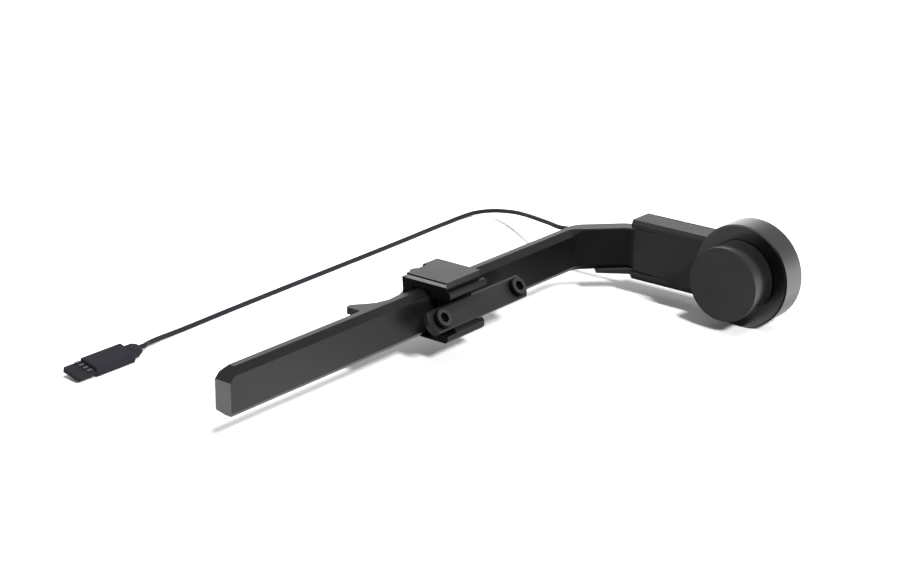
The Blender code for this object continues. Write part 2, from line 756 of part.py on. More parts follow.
KNOB_FLOOR = -KNOB_FRONT + CAP_THICKNESS + FIT_GAP
KNOB_INNER_FACE = KNOB_FLOOR + KNOB_FACE


def build_knob(bm):
    """A cup that covers the hub, with a seat for its cap and its screw."""
    wall = KNOB_RADIUS - KNOB_WALL
    seat = CAP_RADIUS + FIT_GAP
    head_seat = KNOB_FLOOR + KNOB_FACE / 2
    profile = [
        (-KNOB_FRONT, KNOB_RADIUS - KNOB_EDGE), (-KNOB_FRONT + KNOB_EDGE, KNOB_RADIUS),
        (-KNOB_GAP - KNOB_EDGE, KNOB_RADIUS), (-KNOB_GAP, KNOB_RADIUS - KNOB_EDGE), (-KNOB_GAP, wall),
        (KNOB_INNER_FACE, wall), (KNOB_INNER_FACE, KNOB_SCREW_SHANK + FIT_GAP),
        (head_seat, KNOB_SCREW_SHANK + FIT_GAP), (head_seat, KNOB_SCREW_HEAD + FIT_GAP),
        (KNOB_FLOOR, KNOB_SCREW_HEAD + FIT_GAP), (KNOB_FLOOR, seat), (-KNOB_FRONT, seat),
    ]
    turned(bm, "Y", profile, LARGE_ROUND)


def build_cap(bm):
    """The disc let into the knob's face."""
    edge = CAP_THICKNESS / 4
    turned(bm, "Y", [(-KNOB_FRONT, 0.0), (-KNOB_FRONT, CAP_RADIUS - edge), (-KNOB_FRONT + edge, CAP_RADIUS),
                     (-KNOB_FRONT + CAP_THICKNESS, CAP_RADIUS), (-KNOB_FRONT + CAP_THICKNESS, 0.0)],
           LARGE_ROUND)


def build_shaft(bm):
    """The shaft, with a blind hole for the knob's screw and a groove for its clip."""
    front = KNOB_INNER_FACE + FIT_GAP
    bore = KNOB_SCREW_SHANK + FIT_GAP
    groove = SHAFT_RADIUS - SHAFT_GROOVE_DEPTH
    clip_front = HUB_REAR - FIT_GAP + FIT_GAP
    profile = [
        (front, bore), (front, SHAFT_RADIUS), (clip_front - FIT_GAP, SHAFT_RADIUS),
        (clip_front - FIT_GAP, groove), (clip_front + CIRCLIP_THICKNESS + FIT_GAP, groove),
        (clip_front + CIRCLIP_THICKNESS + FIT_GAP, SHAFT_RADIUS),
        (SHAFT_REAR, SHAFT_RADIUS), (SHAFT_REAR, 0.0), (front + KNOB_SCREW_LENGTH, 0.0),
        (front + KNOB_SCREW_LENGTH, bore),
    ]
    turned(bm, "Y", profile, MIDDLE_ROUND)


def build_circlip(bm):
    """The clip behind the rear bearing."""
    low = HUB_REAR
    inner = SHAFT_RADIUS - SHAFT_GROOVE_DEPTH + FIT_GAP
    tube_ring(bm, "Y", inner, CIRCLIP_RADIUS, low, low + CIRCLIP_THICKNESS, MIDDLE_ROUND)


def build_magnet(bm):
    """The magnet on the shaft's rear end."""
    low = SHAFT_REAR + FIT_GAP / 3
    rod(bm, "Y", SHAFT_RADIUS, low, low + MAGNET_THICKNESS, count=MIDDLE_ROUND)


def build_knob_screw(bm):
    """The screw that draws the knob onto the shaft."""
    face = KNOB_FLOOR + KNOB_FACE / 2 - FIT_GAP
    height = KNOB_FACE / 2 - 2 * FIT_GAP
    screw("Y", (0.0, 0.0), face, 1, KNOB_SCREW_SHANK, KNOB_SCREW_HEAD, height, KNOB_SCREW_LENGTH)(bm)


def make_knob():
    piece("knob", build_knob, "matte_black")
    piece("knob_cap", build_cap, "matte_black")
    piece("knob_screw", build_knob_screw, "bright_steel")
    piece("knob_shaft", build_shaft, "bright_steel")
    piece("shaft_clip", build_circlip, "bright_steel")
    piece("sensor_magnet", build_magnet, "bright_steel")


# Box

def box_outline(low, high):
    """The box's side view as (y, z), bevelled at the front if it reaches it."""
    half = BOX_HEIGHT / 2
    if low:
        edge = BOX_COVER_THICKNESS / 3
        return [(low, -half), (high - edge, -half), (high, -half + edge), (high, half - edge),
                (high - edge, half), (low, half)]
    return [(0.0, -half + BOX_BEVEL_HEIGHT), (BOX_BEVEL_DEPTH, -half), (high, -half), (high, half),
            (BOX_BEVEL_DEPTH, half), (0.0, half - BOX_BEVEL_HEIGHT)]


def build_box(bm):
    outline = box_outline(0.0, BOX_SPLIT)
    prism(bm, "X", [(outline, -BOX_LEFT), (outline, -BOX_RIGHT)])


def disc_seat(bm):
    """The round housing's place in the box."""
    rod(bm, "Y", BOX_SEAT_RADIUS, -OVERRUN, DISC_DEPTH + OVERRUN, count=LARGE_ROUND)


def bar_slot(bm):
    """The slot in the box's front that the bar lies in."""
    block(bm, (-BOX_LEFT - OVERRUN, -OVERRUN, -SLOT_HALF), (SLOT_END, SLOT_FLOOR, SLOT_HALF))


def bar_saddle(bm):
    """The tongue under the bar's elbow, on the box's lower wall and rising towards its tip."""
    corner = -BAR_OFFSET + ELBOW_LEG + BAR_THICKNESS / 2 * math.tan(math.radians(HALF_BEND / 2))
    root = -BOX_LEFT + BOX_WALL
    front = FIT_GAP
    rear = FIT_GAP + SADDLE_WIDTH
    across = SADDLE_WIDTH * math.cos(math.radians(HALF_BEND))
    tip = (corner - SADDLE_LENGTH, front - SADDLE_LENGTH)
    tip_rear = (tip[0] - across, tip[1] + across)
    outline = [(root, front), (root, rear), (corner + SADDLE_WIDTH - 2 * across, rear), tip_rear, tip,
               (corner, front)]
    top = -SLOT_HALF - FIT_GAP / 3
    upper = []
    lower = []
    for x, y in outline:
        share = (x - tip_rear[0]) / (root - tip_rear[0])
        depth = SADDLE_TIP_HEIGHT + (SADDLE_HEIGHT - SADDLE_TIP_HEIGHT) * share
        upper.append(bm.verts.new((x, y, top)))
        lower.append(bm.verts.new((x, y, top - depth)))
    mesh_wall(bm, lower, upper)
    bm.faces.new(lower)
    bm.faces.new(upper)


def wire_channel(bm):
    """The rear hollow behind the bar."""
    left = -BOX_LEFT + BOX_WALL
    block(bm, (left, SLOT_FLOOR + BOX_PARTITION, -SLOT_HALF),
          (SLOT_END + OVERRUN, BOX_SPLIT + OVERRUN, SLOT_HALF))


def board_pocket(bm):
    """The hollow beside the round housing, its right wall following the round."""
    wall_radius = BOX_SEAT_RADIUS + BOX_WALL
    left = SLOT_END + BOX_WALL / 2
    half = BOX_HEIGHT / 2 - POCKET_MARGIN
    reach = math.asin(half / wall_radius)
    round_side = arc((0.0, 0.0), wall_radius, 180.0 - math.degrees(reach), 180.0 + math.degrees(reach))
    outline = [(left, half)] + round_side + [(left, -half)]
    prism(bm, "Y", [(outline, BOX_WALL), (outline, BOX_SPLIT + OVERRUN)])


def box_hole_places():
    """Cover screws in the box's thick top and bottom walls, as (x, z)."""
    height = (SLOT_HALF + BOX_HEIGHT / 2) / 2
    inner = SLOT_END - BOX_WALL * 2
    outer = -BOX_LEFT + BOX_WALL * 2
    return [(x, sign * height) for x in (inner, outer) for sign in (1, -1)]


def board_screw_places():
    """Screws of the interface board, as (x, z)."""
    middle = interface_middle()
    return [(middle, sign * INTERFACE_HEIGHT * BOARD_SCREW_SHARE) for sign in (1, -1)]


def interface_middle():
    """The interface board's centre, in the pocket between the bar's end and the round housing."""
    return SLOT_END + BOX_WALL / 2 + FIT_GAP + INTERFACE_WIDTH / 2


def board_bosses(bm):
    """Bosses that carry the interface board."""
    for place in board_screw_places():
        rod(bm, "Y", BOX_BOSS_RADIUS, BOX_WALL / 2, INTERFACE_FRONT - FIT_GAP, place)


def box_holes(bm):
    """All of the box's screw, wire and cable holes."""
    for place in box_hole_places():
        rod(bm, "Y", SMALL_HOLE, BOX_SPLIT - SMALL_SCREW_LENGTH, BOX_SPLIT + OVERRUN, place)
    for place in bar_screw_places():
        rod(bm, "Y", SMALL_HOLE, SLOT_FLOOR - FIT_GAP, SLOT_FLOOR + OVERRUN / 2, place)
    for place in board_screw_places():
        rod(bm, "Y", SMALL_HOLE, INTERFACE_FRONT - SMALL_SCREW_LENGTH / 2, INTERFACE_FRONT + OVERRUN, place)
    wall_left = -BOX_SEAT_RADIUS - BOX_WALL * 2
    rod(bm, "X", SMALL_HOLE, wall_left, -BOX_SEAT_RADIUS + BOX_WALL, wire_place())
    for place in housing_screw_places():
        rod(bm, "X", SMALL_HOLE, wall_left, -BOX_SEAT_RADIUS + BOX_WALL, place)


def cable_hole(bm):
    """The strain relief's hole in the box's left end."""
    rod(bm, "X", BOOT_NECK_RADIUS + FIT_GAP, -BOX_LEFT - OVERRUN, -BOX_LEFT + BOOT_NECK_LENGTH + FIT_GAP,
        (CORD_EXIT_Y, 0.0))


def build_box_cover(bm):
    outline = box_outline(BOX_SPLIT + FIT_GAP, BOX_DEPTH)
    prism(bm, "X", [(outline, -BOX_LEFT), (outline, -BOX_RIGHT)])


def box_cover_holes(bm):
    for place in box_hole_places():
        head_hole(bm, place, BOX_DEPTH)


def build_interface_board(bm):
    middle = interface_middle()
    block(bm, (middle - INTERFACE_WIDTH / 2, INTERFACE_FRONT, -INTERFACE_HEIGHT / 2),
          (middle + INTERFACE_WIDTH / 2, INTERFACE_FRONT + BOARD_THICKNESS, INTERFACE_HEIGHT / 2))


def interface_board_holes(bm):
    for place in board_screw_places():
        rod(bm, "Y", SMALL_HOLE, INTERFACE_FRONT - OVERRUN, INTERFACE_FRONT + OVERRUN, place)


def build_header(bm):
    """The socket on the board that the leads end in."""
    middle = interface_middle()
    low = INTERFACE_FRONT + BOARD_THICKNESS + FIT_GAP / 3
    block(bm, (middle - HEADER_WIDTH / 2, low, -HEADER_HEIGHT / 2),
          (middle + HEADER_WIDTH / 2, low + HEADER_DEPTH, HEADER_HEIGHT / 2))


def make_box():
    box = piece("box_shell", build_box, "black_plastic")
    for build in (disc_seat, bar_slot, wire_channel, board_pocket):
        cutter(box, build)
    cutter(box, bar_saddle, "UNION")
    cutter(box, board_bosses, "UNION")
    cutter(box, box_holes)
    cutter(box, cable_hole)
    cover = piece("box_cover", build_box_cover, "black_plastic")
    cutter(cover, disc_seat)
    cutter(cover, box_cover_holes)
    cutter(cover, cable_hole)
    head = SMALL_HEAD_HEIGHT - FIT_GAP
    small_screws("box_cover_screw", "Y", box_hole_places(), BOX_DEPTH - head, -1, head, SMALL_SCREW_LENGTH,
                 "black_screw")
    small_screws("bar_screw", "Y", bar_screw_places(), SLOT_FLOOR + BOX_PARTITION + FIT_GAP, -1,
                 SMALL_HEAD_HEIGHT,
                 SMALL_SCREW_LENGTH, "bright_steel")
    small_screws("housing_screw", "X", housing_screw_places(), -BOX_SEAT_RADIUS - BOX_WALL - FIT_GAP, 1,
                 SMALL_HEAD_HEIGHT, SMALL_SCREW_LENGTH, "bright_steel")
    board = piece("interface_board", build_interface_board, "board_green")
    cutter(board, interface_board_holes)
    face = INTERFACE_FRONT + BOARD_THICKNESS + FIT_GAP
    small_screws("interface_board_screw", "Y", board_screw_places(), face, -1, SMALL_HEAD_HEIGHT,
                 SMALL_SCREW_LENGTH / 2, "bright_steel")
    piece("board_header", build_header, "black_plastic")


# Clamp

def tilted(out, up):
    """A point of the plate's own (outward, up) axes, in the clamp's end view."""
    return (-PLATE_X + out * math.cos(PLATE_TILT) - up * math.sin(PLATE_TILT),
            PLATE_Z + out * math.sin(PLATE_TILT) + up * math.cos(PLATE_TILT))


def clamp_outline():
    """The clamp's end view as (x, z), given clockwise from the top rear edge."""
    front = -CLAMP_FRONT
    half = PLATE_HEIGHT / 2 + FIT_GAP
    back = -PLATE_THICKNESS - FIT_GAP
    bead = [(-BEAD_X + BEAD_RADIUS * math.cos(math.radians(angle)),
             BEAD_Z + BEAD_RADIUS * math.sin(math.radians(angle)))
            for angle in range(120, -121, -30)]
    return [
        (-CLAMP_REAR, CLAMP_TOP - CLAMP_EDGE), (-CLAMP_REAR + CLAMP_EDGE, CLAMP_TOP), (front, CLAMP_TOP),
        (front, CLAMP_BLOCK_LOW), *bead, tilted(FIT_GAP, half), tilted(back, half), tilted(back, -half),
        (-LIP_FRONT - LIP_EDGE, -LIP_TOP), (-LIP_FRONT, -LIP_TOP - LIP_EDGE),
        (-LIP_FRONT, -CLAMP_BOTTOM + LOWER_LIP_CHAMFER), (-LIP_FRONT - LOWER_LIP_CHAMFER, -CLAMP_BOTTOM),
        (-CLAMP_REAR + CLAMP_EDGE, -CLAMP_BOTTOM), (-CLAMP_REAR, -CLAMP_BOTTOM + CLAMP_EDGE),
    ]


def build_clamp(bm):
    outline = clamp_outline()
    prism(bm, "Y", [(outline, -CLAMP_NEAR), (outline, JAW_FAR)])


def clamp_far_end(bm):
    """Takes the far end back behind the two jaws."""
    block(bm, (-CLAMP_REAR - OVERRUN, CLAMP_FAR, -CLAMP_BOTTOM - OVERRUN),
          (-BEAD_X - BEAD_RADIUS / 2, JAW_FAR + OVERRUN, CLAMP_TOP + OVERRUN))


def clamp_far_block(bm):
    """Takes the top block back over the upper jaw."""
    block(bm, (-BEAD_X - 2 * BEAD_RADIUS, CLAMP_FAR, BEAD_Z + BEAD_RADIUS),
          (-CLAMP_FRONT + OVERRUN, JAW_FAR + OVERRUN, CLAMP_TOP + OVERRUN))


def bar_channel(bm):
    """The channel that the bar slides through."""
    block(bm, (CHANNEL_REAR, -CLAMP_NEAR - OVERRUN, -SLOT_HALF),
          (CHANNEL_FRONT, JAW_FAR + OVERRUN, SLOT_HALF))


def shoe_window(bm):
    """The window in the rear wall that the shoe moves in."""
    half = SHOE_LENGTH / 2 + SHOE_WINDOW_GAP
    block(bm, (-CLAMP_REAR - OVERRUN, -PIN_Y - half, LEVER_BOTTOM - FIT_GAP),
          (CHANNEL_REAR + OVERRUN, -PIN_Y + half, LEVER_TOP + FIT_GAP))


def clamp_notch(bm):
    """The step in the top's rear edge."""
    block(bm, (-CLAMP_REAR - OVERRUN, -CLAMP_NEAR - OVERRUN, SLOT_HALF + EAR_THICKNESS),
          (-CLAMP_REAR + CLAMP_NOTCH_DEPTH, -CLAMP_NEAR + CLAMP_NOTCH_LENGTH, CLAMP_TOP + OVERRUN))


def ear_outline(radius):
    """An ear that reaches from the rear wall round the pin, as (x, y)."""
    root = -CLAMP_REAR + CLAMP_EDGE
    tip = arc((-PIN_X, -PIN_Y), radius, 110.0, 250.0)
    spread = radius * EAR_ROOT_SHARE
    return [(root, -PIN_Y + spread)] + tip + [(root, -PIN_Y - spread)]


def clamp_ears(bm):
    """Two ears that hold the lever's pin."""
    outline = ear_outline(EAR_RADIUS)
    for low in (LEVER_TOP + FIT_GAP, LEVER_BOTTOM - FIT_GAP - EAR_THICKNESS):
        prism(bm, "Z", [(outline, low), (outline, low + EAR_THICKNESS)])


def pin_hole(bm):
    rod(bm, "Z", PIN_RADIUS + FIT_GAP, LEVER_BOTTOM - EAR_THICKNESS - OVERRUN,
        LEVER_TOP + EAR_THICKNESS + OVERRUN,
        (-PIN_X, -PIN_Y))


def plate_screw_places():
    """The screws between clamp and plate, as (y, z)."""
    return [(-PLATE_SCREW_MIDDLE + sign * PLATE_SCREW_PITCH / 2, -PLATE_SCREW_Z) for sign in (1, -1)]


def clamp_front_holes(bm):
    """Countersunk holes for the plate's screws."""
    for place in plate_screw_places():
        seat = CHANNEL_FRONT - FIT_GAP
        sunk = PLATE_SCREW_HEAD + FIT_GAP
        through = PLATE_SCREW_SHANK + FIT_GAP
        depth = PLATE_SCREW_HEAD_HEIGHT + 2 * FIT_GAP
        turned(bm, "X", [(seat - OVERRUN, 0.0), (seat - OVERRUN, sunk), (seat + FIT_GAP, sunk),
                         (seat + depth, through),
                         (-PLATE_X, through), (-PLATE_X, 0.0)], SMALL_ROUND, place)


def captive_screw_room(bm):
    """Room at the clamp's near end, behind the plate, for the near captive screw and its clip."""
    block(bm, (CHANNEL_FRONT - OVERRUN, -CLAMP_NEAR - OVERRUN, -SCREW_ROOM_HALF),
          (-LIP_FRONT + OVERRUN, -CLAMP_NEAR + SCREW_ROOM_LENGTH, SCREW_ROOM_HALF))


def build_liner(bm):
    """The slide pad between the bar and the clamp's front wall."""
    low = BAR_INNER + FIT_GAP
    middle = -PLATE_SCREW_MIDDLE
    block(bm, (low, middle - LINER_LENGTH / 2, -LINER_HEIGHT / 2),
          (low + LINER_THICKNESS, middle + LINER_LENGTH / 2, LINER_HEIGHT / 2))


def make_clamp(origin):
    clamp = piece("clamp_body", build_clamp, "black_anodised", origin)
    cutter(clamp, clamp_ears, "UNION")
    for build in (clamp_far_end, clamp_far_block, bar_channel, shoe_window, clamp_notch, pin_hole,
                  clamp_front_holes,
                  captive_screw_room):
        cutter(clamp, build)
    piece("bar_liner", build_liner, "acetal_white", origin)


# Mounting plate, drawn on its own axes: X out of its face, Z up along it

def plate_outline():
    """The plate's outline as (y, z), its ends rounded about the captive screws."""
    half = PLATE_HEIGHT / 2
    sweep = math.degrees(math.asin(half / PLATE_END_RADIUS))
    far, near = MOUNT_SCREW_PLACES
    far_end = arc((far, 0.0), PLATE_END_RADIUS, -sweep, sweep)
    return far_end + arc((near, 0.0), PLATE_END_RADIUS, 180.0 - sweep, 180.0 + sweep)


def build_plate(bm):
    outline = plate_outline()
    eased = inset(outline, PLATE_EDGE)
    prism(bm, "X", [(eased, -PLATE_THICKNESS), (outline, -PLATE_THICKNESS + PLATE_EDGE),
                    (outline, -PLATE_EDGE),
                    (eased, 0.0)])


def plate_top_edge(bm):
    """The wide bevel along the plate's upper edge."""
    top = PLATE_HEIGHT / 2
    low = top - PLATE_TOP_EDGE - OVERRUN
    wedge = [(OVERRUN, top + OVERRUN), (OVERRUN, low), (-PLATE_TOP_EDGE - OVERRUN, top + OVERRUN)]
    low = -PLATE_Y - MOUNT_SCREW_PITCH
    high = -PLATE_Y + MOUNT_SCREW_PITCH
    prism(bm, "Y", [(wedge, low), (wedge, high)])


def plate_slots(bm):
    """Through holes for the captive screws."""
    for y in MOUNT_SCREW_PLACES:
        rod(bm, "X", MOUNT_SHANK_RADIUS + FIT_GAP, -PLATE_THICKNESS - OVERRUN, OVERRUN, (y, 0.0),
            MIDDLE_ROUND)


def plate_fixing_holes(bm):
    """Holes for the plate's own screws, straight along the clamp's X."""
    for place in plate_screw_places():
        tip = CHANNEL_FRONT + FIT_GAP / 3 + PLATE_SCREW_LENGTH + FIT_GAP
        rod(bm, "X", PLATE_SCREW_SHANK + FIT_GAP, -PLATE_X - 2 * PLATE_THICKNESS, tip, place)
    turn = Matrix.Rotation(-PLATE_TILT, 4, "Y")
    place = Matrix.Translation((-PLATE_X, 0.0, PLATE_Z))
    bmesh.ops.transform(bm, matrix=(place @ turn).inverted(), verts=bm.verts)


def mount_screw(y):
    """A captive screw with a low head on the plate's face."""
    def build(bm):
        edge = MOUNT_HEAD_EDGE
        top = MOUNT_HEAD_HEIGHT
        base = FIT_GAP / 3
        profile = [(top, 0.0), (top, MOUNT_HEAD_RADIUS - edge), (top - edge, MOUNT_HEAD_RADIUS),
                   (base, MOUNT_HEAD_RADIUS), (base, MOUNT_SHANK_RADIUS),
                   (-MOUNT_SCREW_LENGTH, MOUNT_SHANK_RADIUS),
                   (-MOUNT_SCREW_LENGTH, 0.0)]
        turned(bm, "X", profile, MIDDLE_ROUND, (y, 0.0))
    return build


def hex_socket(y):
    """The six-sided socket in a captive screw's head."""
    def build(bm):
        outline = round_points(HEX_RADIUS, 6, (y, 0.0), math.radians(30.0))
        prism(bm, "X", [(outline, MOUNT_HEAD_HEIGHT - HEX_DEPTH), (outline, MOUNT_HEAD_HEIGHT + OVERRUN)])
    return build


def screw_clip(y):
    """A clip that keeps a captive screw in the plate."""
    def build(bm):
        high = -PLATE_THICKNESS - FIT_GAP
        inner = MOUNT_SHANK_RADIUS + FIT_GAP / 3
        profile = [(high, inner), (high, CLIP_RADIUS), (high - CLIP_THICKNESS, CLIP_RADIUS),
                   (high - CLIP_THICKNESS, inner)]
        turned(bm, "X", profile, SMALL_ROUND, (y, 0.0))
    return build


def plate_screw(place):
    """A countersunk screw from the bar's channel into the plate."""
    def build(bm):
        head = CHANNEL_FRONT + FIT_GAP / 3
        neck = head + PLATE_SCREW_HEAD_HEIGHT
        tip = head + PLATE_SCREW_LENGTH
        profile = [(head, 0.0), (head, PLATE_SCREW_HEAD), (neck, PLATE_SCREW_SHANK), (tip, PLATE_SCREW_SHANK),
                   (tip, 0.0)]
        turned(bm, "X", profile, SMALL_ROUND, place)
    return build


def make_plate(origin):
    frame = bpy.data.objects.new("plate_frame", None)
    frame.parent = UNIT["origin"]
    frame.location = (-PLATE_X, 0.0, PLATE_Z)
    frame.rotation_euler = (0.0, -PLATE_TILT, 0.0)
    bpy.context.scene.collection.objects.link(frame)
    plate = piece("mount_plate", build_plate, "black_anodised", (0.0, -PLATE_Y, 0.0), frame)
    for build in (plate_top_edge, plate_slots, plate_fixing_holes):
        cutter(plate, build)
    for index, y in enumerate(MOUNT_SCREW_PLACES):
        fixing = piece("mount_screw_" + str(index + 1), mount_screw(y), "black_screw", (0.0, y, 0.0), frame)
        cutter(fixing, hex_socket(y))
        piece("screw_clip_" + str(index + 1), screw_clip(y), "bright_steel", (0.0, y, 0.0), frame)
    for index, place in enumerate(plate_screw_places()):
        piece("plate_screw_" + str(index + 1), plate_screw(place), "bright_steel", origin)


# Lever, pin and shoe

def lever_outline():
    """The cam lever from above as (x, y), given anticlockwise."""
    inner = BAR_OUTER - LEVER_BAR_GAP
    neck = inner - LEVER_NECK
    tip_out = inner - LEVER_TIP_OUT
    body_near = -CLAMP_NEAR - LEVER_BAR_GAP * 2
    cam = arc((CAM_X, -PIN_Y), CAM_RADIUS, CAM_START, 180.0 - CAM_START, 2 * ARC_STEPS)
    tip = -LEVER_TIP_Y
    round_tip = LEVER_NECK / 3
    flare = (tip - body_near) * LEVER_FLARE_SHARE
    outer = [(neck + LEVER_NECK * out, body_near + LEVER_NECK * back + flare * along)
             for out, back, along in LEVER_OUTER_SHARES]
    outer += [(tip_out, tip + round_tip * LEVER_TIP_SHARE), (tip_out, tip + round_tip),
              (tip_out + round_tip, tip)]
    inner_side = [(inner - round_tip, tip), (inner, tip + round_tip),
                  (inner, body_near - LEVER_NECK * LEVER_ROOT_SHARE),
                  (-CLAMP_REAR - LEVER_BAR_GAP, body_near + LEVER_BAR_GAP)]
    return cam + outer + inner_side


def build_lever(bm):
    """The lever, its lower outer edge cut away towards the tip."""
    outline = lever_outline()
    layers = [(inset(outline, LEVER_EDGE), LEVER_BOTTOM), (outline, LEVER_BOTTOM + LEVER_EDGE)]
    layers += [(outline, LEVER_TOP - LEVER_EDGE), (inset(outline, LEVER_EDGE), LEVER_TOP)]
    prism(bm, "Z", layers)


def lever_undercut(bm):
    """A wedge that thins the handle from below, all along its free part."""
    near = -CLAMP_NEAR - LEVER_BAR_GAP * 4
    low = -LEVER_TIP_Y - OVERRUN
    left = BAR_OUTER - LEVER_TIP_OUT - OVERRUN * 2
    wedge = [(near, LEVER_BOTTOM - OVERRUN),
             (near - LEVER_HEIGHT * UNDERCUT_START_SHARE, LEVER_TOP - LEVER_UNDERCUT * UNDERCUT_STEP_SHARE),
             (low, LEVER_TOP - LEVER_UNDERCUT), (low, LEVER_BOTTOM - OVERRUN)]
    prism(bm, "X", [(wedge, left), (wedge, BAR_OUTER + OVERRUN)])


def build_pin(bm):
    """The lever's pin, headed at the top."""
    top = LEVER_TOP + FIT_GAP + EAR_THICKNESS + FIT_GAP
    bottom = LEVER_BOTTOM - EAR_THICKNESS - 2 * FIT_GAP - PIN_HEAD_HEIGHT
    turned(bm, "Z", [(top + PIN_HEAD_HEIGHT, 0.0), (top + PIN_HEAD_HEIGHT, PIN_HEAD_RADIUS),
                     (top, PIN_HEAD_RADIUS),
                     (top, PIN_RADIUS), (bottom, PIN_RADIUS), (bottom, 0.0)], SMALL_ROUND, (-PIN_X, -PIN_Y))


def build_pin_clip(bm):
    """The clip under the lower ear."""
    high = LEVER_BOTTOM - EAR_THICKNESS - 2 * FIT_GAP
    inner = PIN_RADIUS + FIT_GAP / 3
    turned(bm, "Z", [(high, inner), (high, PIN_HEAD_RADIUS), (high - CLIP_THICKNESS, PIN_HEAD_RADIUS),
                     (high - CLIP_THICKNESS, inner)], SMALL_ROUND, (-PIN_X, -PIN_Y))


def build_shoe(bm):
    """The pad between the cam and the bar."""
    half = SHOE_LENGTH / 2
    low = LEVER_BOTTOM + SHOE_WINDOW_GAP
    high = LEVER_TOP - SHOE_WINDOW_GAP
    block(bm, (CAM_FRONT + FIT_GAP, -PIN_Y - half, low), (BAR_OUTER - FIT_GAP, -PIN_Y + half, high))


def make_lever(clamp_origin):
    pin_place = Vector((-PIN_X, -PIN_Y, (LEVER_TOP + LEVER_BOTTOM) / 2))
    lever = piece("lock_lever", build_lever, "black_anodised", pin_place)
    cutter(lever, lever_undercut)
    cutter(lever, pin_hole)
    piece("lever_pin", build_pin, "black_screw", clamp_origin)
    piece("pin_clip", build_pin_clip, "bright_steel", clamp_origin)
    piece("clamp_shoe", build_shoe, "acetal_white", pin_place)


# Cable, leads and plug

def smooth_route(points, step):
    """Points read along a smooth curve through the given ones, about a step apart."""
    path = [Vector(point) for point in points]
    path = [2 * path[0] - path[1]] + path + [2 * path[-1] - path[-2]]
    result = []
    for index in range(1, len(path) - 2):
        before, here, after, beyond = path[index - 1:index + 3]
        parts = max(1, round((after - here).length / step))
        for part in range(parts):
            t = part / parts
            slope = after - before
            curve = 2 * before - 5 * here + 4 * after - beyond
            twist = 3 * here - before - 3 * after + beyond
            result.append((2 * here + slope * t + curve * t ** 2 + twist * t ** 3) / 2)
    result.append(path[-2])
    return result


def tube(name, points, diameter, material_name):
    """A closed round tube along a polyline."""
    colour, roughness, metallic = FINISHES[material_name]
    curve = bpy.data.curves.new(name, "CURVE")
    curve.dimensions = "3D"
    curve.bevel_depth = diameter / 2
    curve.bevel_resolution = 2
    curve.use_fill_caps = True
    spline = curve.splines.new("POLY")
    spline.points.add(len(points) - 1)
    for point, place in zip(spline.points, points):
        point.co = (*place, 1.0)
    curve.materials.append(finish(name + "_" + material_name, colour, roughness, metallic))
    thing = bpy.data.objects.new(name, curve)
    thing.parent = UNIT["origin"]
    bpy.context.scene.collection.objects.link(thing)
    return thing


def plug_matrix_point(local):
    """A point on the plug's own axes, in the drawing frame."""
    rolled = Vector((local[0] * math.cos(PLUG_ROLL) + local[2] * math.sin(PLUG_ROLL), local[1],
                     -local[0] * math.sin(PLUG_ROLL) + local[2] * math.cos(PLUG_ROLL)))
    turned_x = rolled.x * math.cos(PLUG_YAW) - rolled.y * math.sin(PLUG_YAW)
    turned_y = rolled.x * math.sin(PLUG_YAW) + rolled.y * math.cos(PLUG_YAW)
    return Vector((PLUG_REAR[0] + turned_x, PLUG_REAR[1] + turned_y, PLUG_Z + rolled.z))


def cord_points():
    """The cable's centre line from the strain relief to the plug."""
    start = -BOX_LEFT - 2 * FIT_GAP - BOOT_LENGTH
    run_in = 2 * CORD_DIAMETER
    first = [(start, CORD_EXIT_Y, 0.0), (start - run_in, CORD_EXIT_Y, 0.0)]
    last = [plug_matrix_point((-PLUG_CORD_OFFSET, run_in, 0.0)),
            plug_matrix_point((-PLUG_CORD_OFFSET, FIT_GAP, 0.0))]
    route = [(x, y, -share * CORD_DROP) for x, y, share in CORD_ROUTE]
    return smooth_route(first + route + [tuple(point) for point in last], CORD_STEP_DIAMETERS * CORD_DIAMETER)


def build_boot(bm):
    """The strain relief: a neck through the box's wall and a taper outside."""
    wall = -BOX_LEFT
    profile = [(wall + BOOT_NECK_LENGTH, 0.0), (wall + BOOT_NECK_LENGTH, BOOT_NECK_RADIUS),
               (wall - FIT_GAP, BOOT_NECK_RADIUS),
               (wall - FIT_GAP, BOOT_RADIUS), (wall - FIT_GAP - BOOT_LENGTH / 4, BOOT_RADIUS),
               (wall - FIT_GAP - BOOT_LENGTH, BOOT_TIP_RADIUS), (wall - FIT_GAP - BOOT_LENGTH, 0.0)]
    turned(bm, "X", profile, SMALL_ROUND, (CORD_EXIT_Y, 0.0))


def lead_points():
    """The lead inside the box, from the strain relief to the board's socket."""
    middle = interface_middle()
    level = (SLOT_FLOOR + BOX_PARTITION + BOX_SPLIT + FIT_GAP) / 2
    high = INTERFACE_FRONT + BOARD_THICKNESS + HEADER_DEPTH + FIT_GAP
    start = -BOX_LEFT + BOOT_NECK_LENGTH + FIT_GAP
    mid = (start + SLOT_END) / 2
    lift = max(level, high + LEAD_DIAMETER / 2 + FIT_GAP)
    return [(start, CORD_EXIT_Y, 0.0), (start + LEAD_DIAMETER * 2, level, 0.0), (mid, level, 0.0),
            (SLOT_END - LEAD_DIAMETER, level, 0.0), (middle, lift, 0.0)]


def sensor_lead_points():
    """The lead from the sensor board through both walls to the interface board."""
    y, z = wire_place()
    return [(-SENSOR_BOARD_RADIUS, SENSOR_BOARD_FRONT - FIT_GAP - LEAD_DIAMETER / 2, z),
            (-SENSOR_BOARD_RADIUS - LEAD_DIAMETER, SENSOR_BOARD_FRONT - FIT_GAP - LEAD_DIAMETER / 2, z),
            (-DISC_RADIUS + DISC_WALL, y, z), (-BOX_SEAT_RADIUS - BOX_WALL, y, z),
            (interface_middle() + INTERFACE_WIDTH / 2 + FIT_GAP, y, z)]


